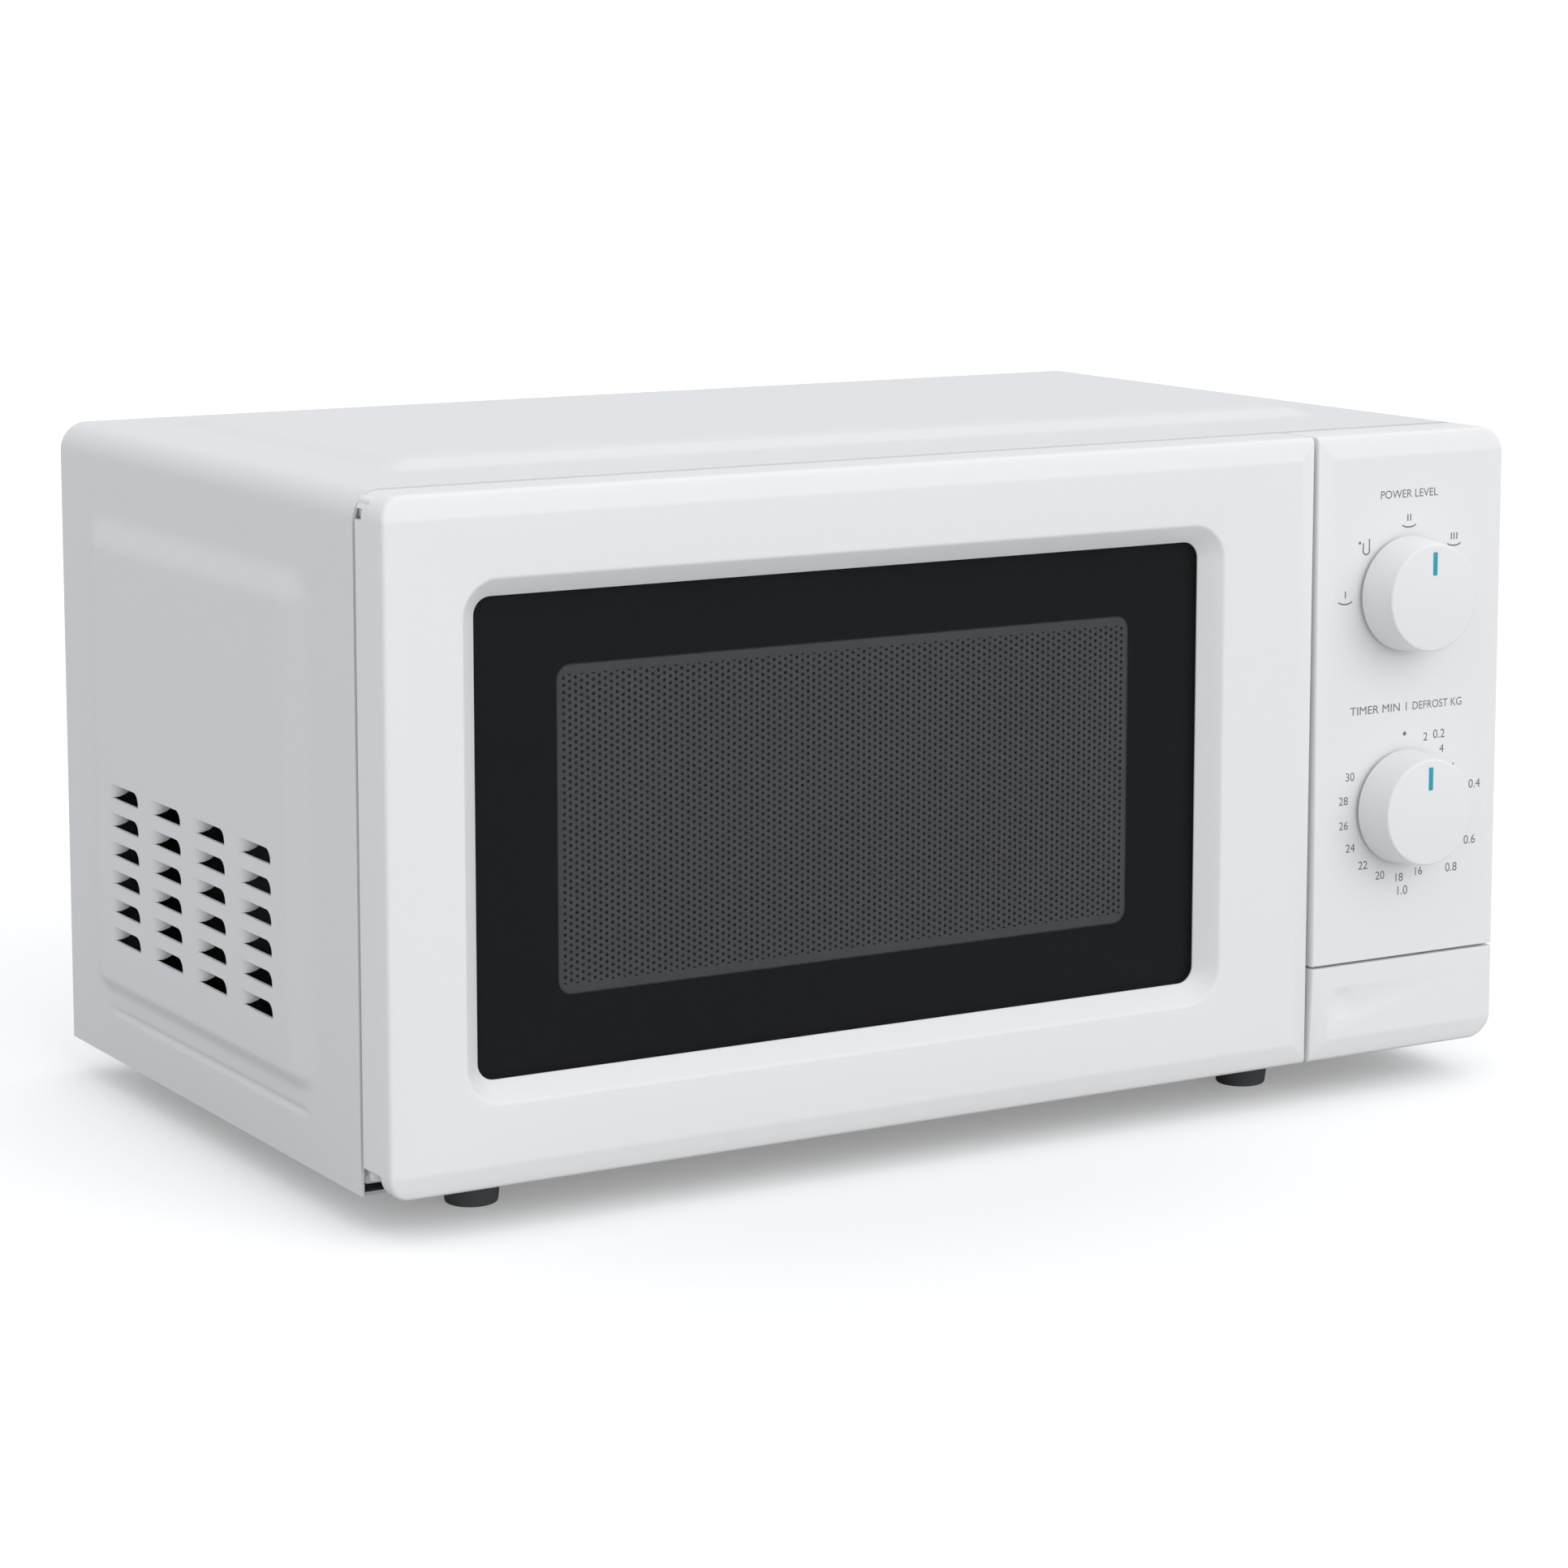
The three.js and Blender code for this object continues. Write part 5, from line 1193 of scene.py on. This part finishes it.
for node, name, body in (("door_latch", "latch_bar", "latch"), ("release_lever", "lever", "lever"),
                         ("interlock_bracket", "switch_bracket", "oven")):
    ride_as(softened(node, name, 0.3, white_plastic), body, "white_plastic", node)
for node, name in (("hinge_upper", "upper_hinge"), ("hinge_lower", "lower_hinge")):
    ride_as(softened(node, name, 0.2, powder_coat), "oven", "painted_steel", node)

# ---- Carried-over parts ----
# Everything inside the electrical bay, the base and the back keep their designed shapes. Each takes the
# finish of the material that the part is really made of.
spring_wire = plated("spring_wire", (0.60, 0.61, 0.62), (0.45, 0.46, 0.47), 0.3, (1, 1, 1), 1.0)
drawn_can = plated("drawn_can", (0.78, 0.79, 0.80), (0.66, 0.67, 0.68), 0.35, (1, 1, 0.06), 1.0)
laminations = plated("laminations", (0.075, 0.075, 0.08), (0.045, 0.045, 0.05), 0.55, (0.05, 0.05, 3), 0.4)
clear_mould = clear("clear_mould", (0.75, 0.78, 0.80), (0.66, 0.70, 0.72), 40, 600, 0.01,
                    Roughness=0.2, Alpha=0.6)

winding = Finish("winding", Metallic=0.85, Roughness=0.35)
turns = winding.add("ShaderNodeTexWave", {"bands_direction": "Z"},
                    {"Vector": winding.place, "Scale": 160.0, "Distortion": 0.6})["Fac"]
# Painted shade and highlight: the copper's tone follows the turns' relief, darker in the grooves between
# turns and brighter on their crests.
winding.feed("Base Color", winding.blend(turns, (0.42, 0.17, 0.07), (0.80, 0.42, 0.22)))
winding.relief(turns, 0.25)

board = Finish("phenolic_board")
fibres = board.noise(700, 3, (1, 0.2, 1))
board.feed("Base Color", board.blend(fibres, (0.50, 0.38, 0.16), (0.60, 0.47, 0.22)))
board.feed("Roughness", fibres * 0.2 + 0.4)
board.relief(fibres, 0.02)

slot_finish = {
    "painted_steel": powder_coat, "white_plastic": white_plastic, "grey_plastic": grey_plastic,
    "black_plastic": black_plastic, "blue_plastic": insert_blue, "clear_plastic": clear_mould,
    "zinc_steel": zinc, "dark_steel": laminations, "spring_steel": spring_wire, "aluminium": drawn_can,
    "cavity_enamel": enamel, "mica": mica, "clear_glass": tray_glass, "black_glass": pane.material,
    "copper": winding.material, "circuit_board": board.material, "foot_rubber": foot_rubber}
for part in frame["record"]["subparts"]:
    kept = frame["nodes"][part["node"]]
    kept.data.materials.clear()
    kept.data.materials.append(slot_finish[part["material_slot"]])
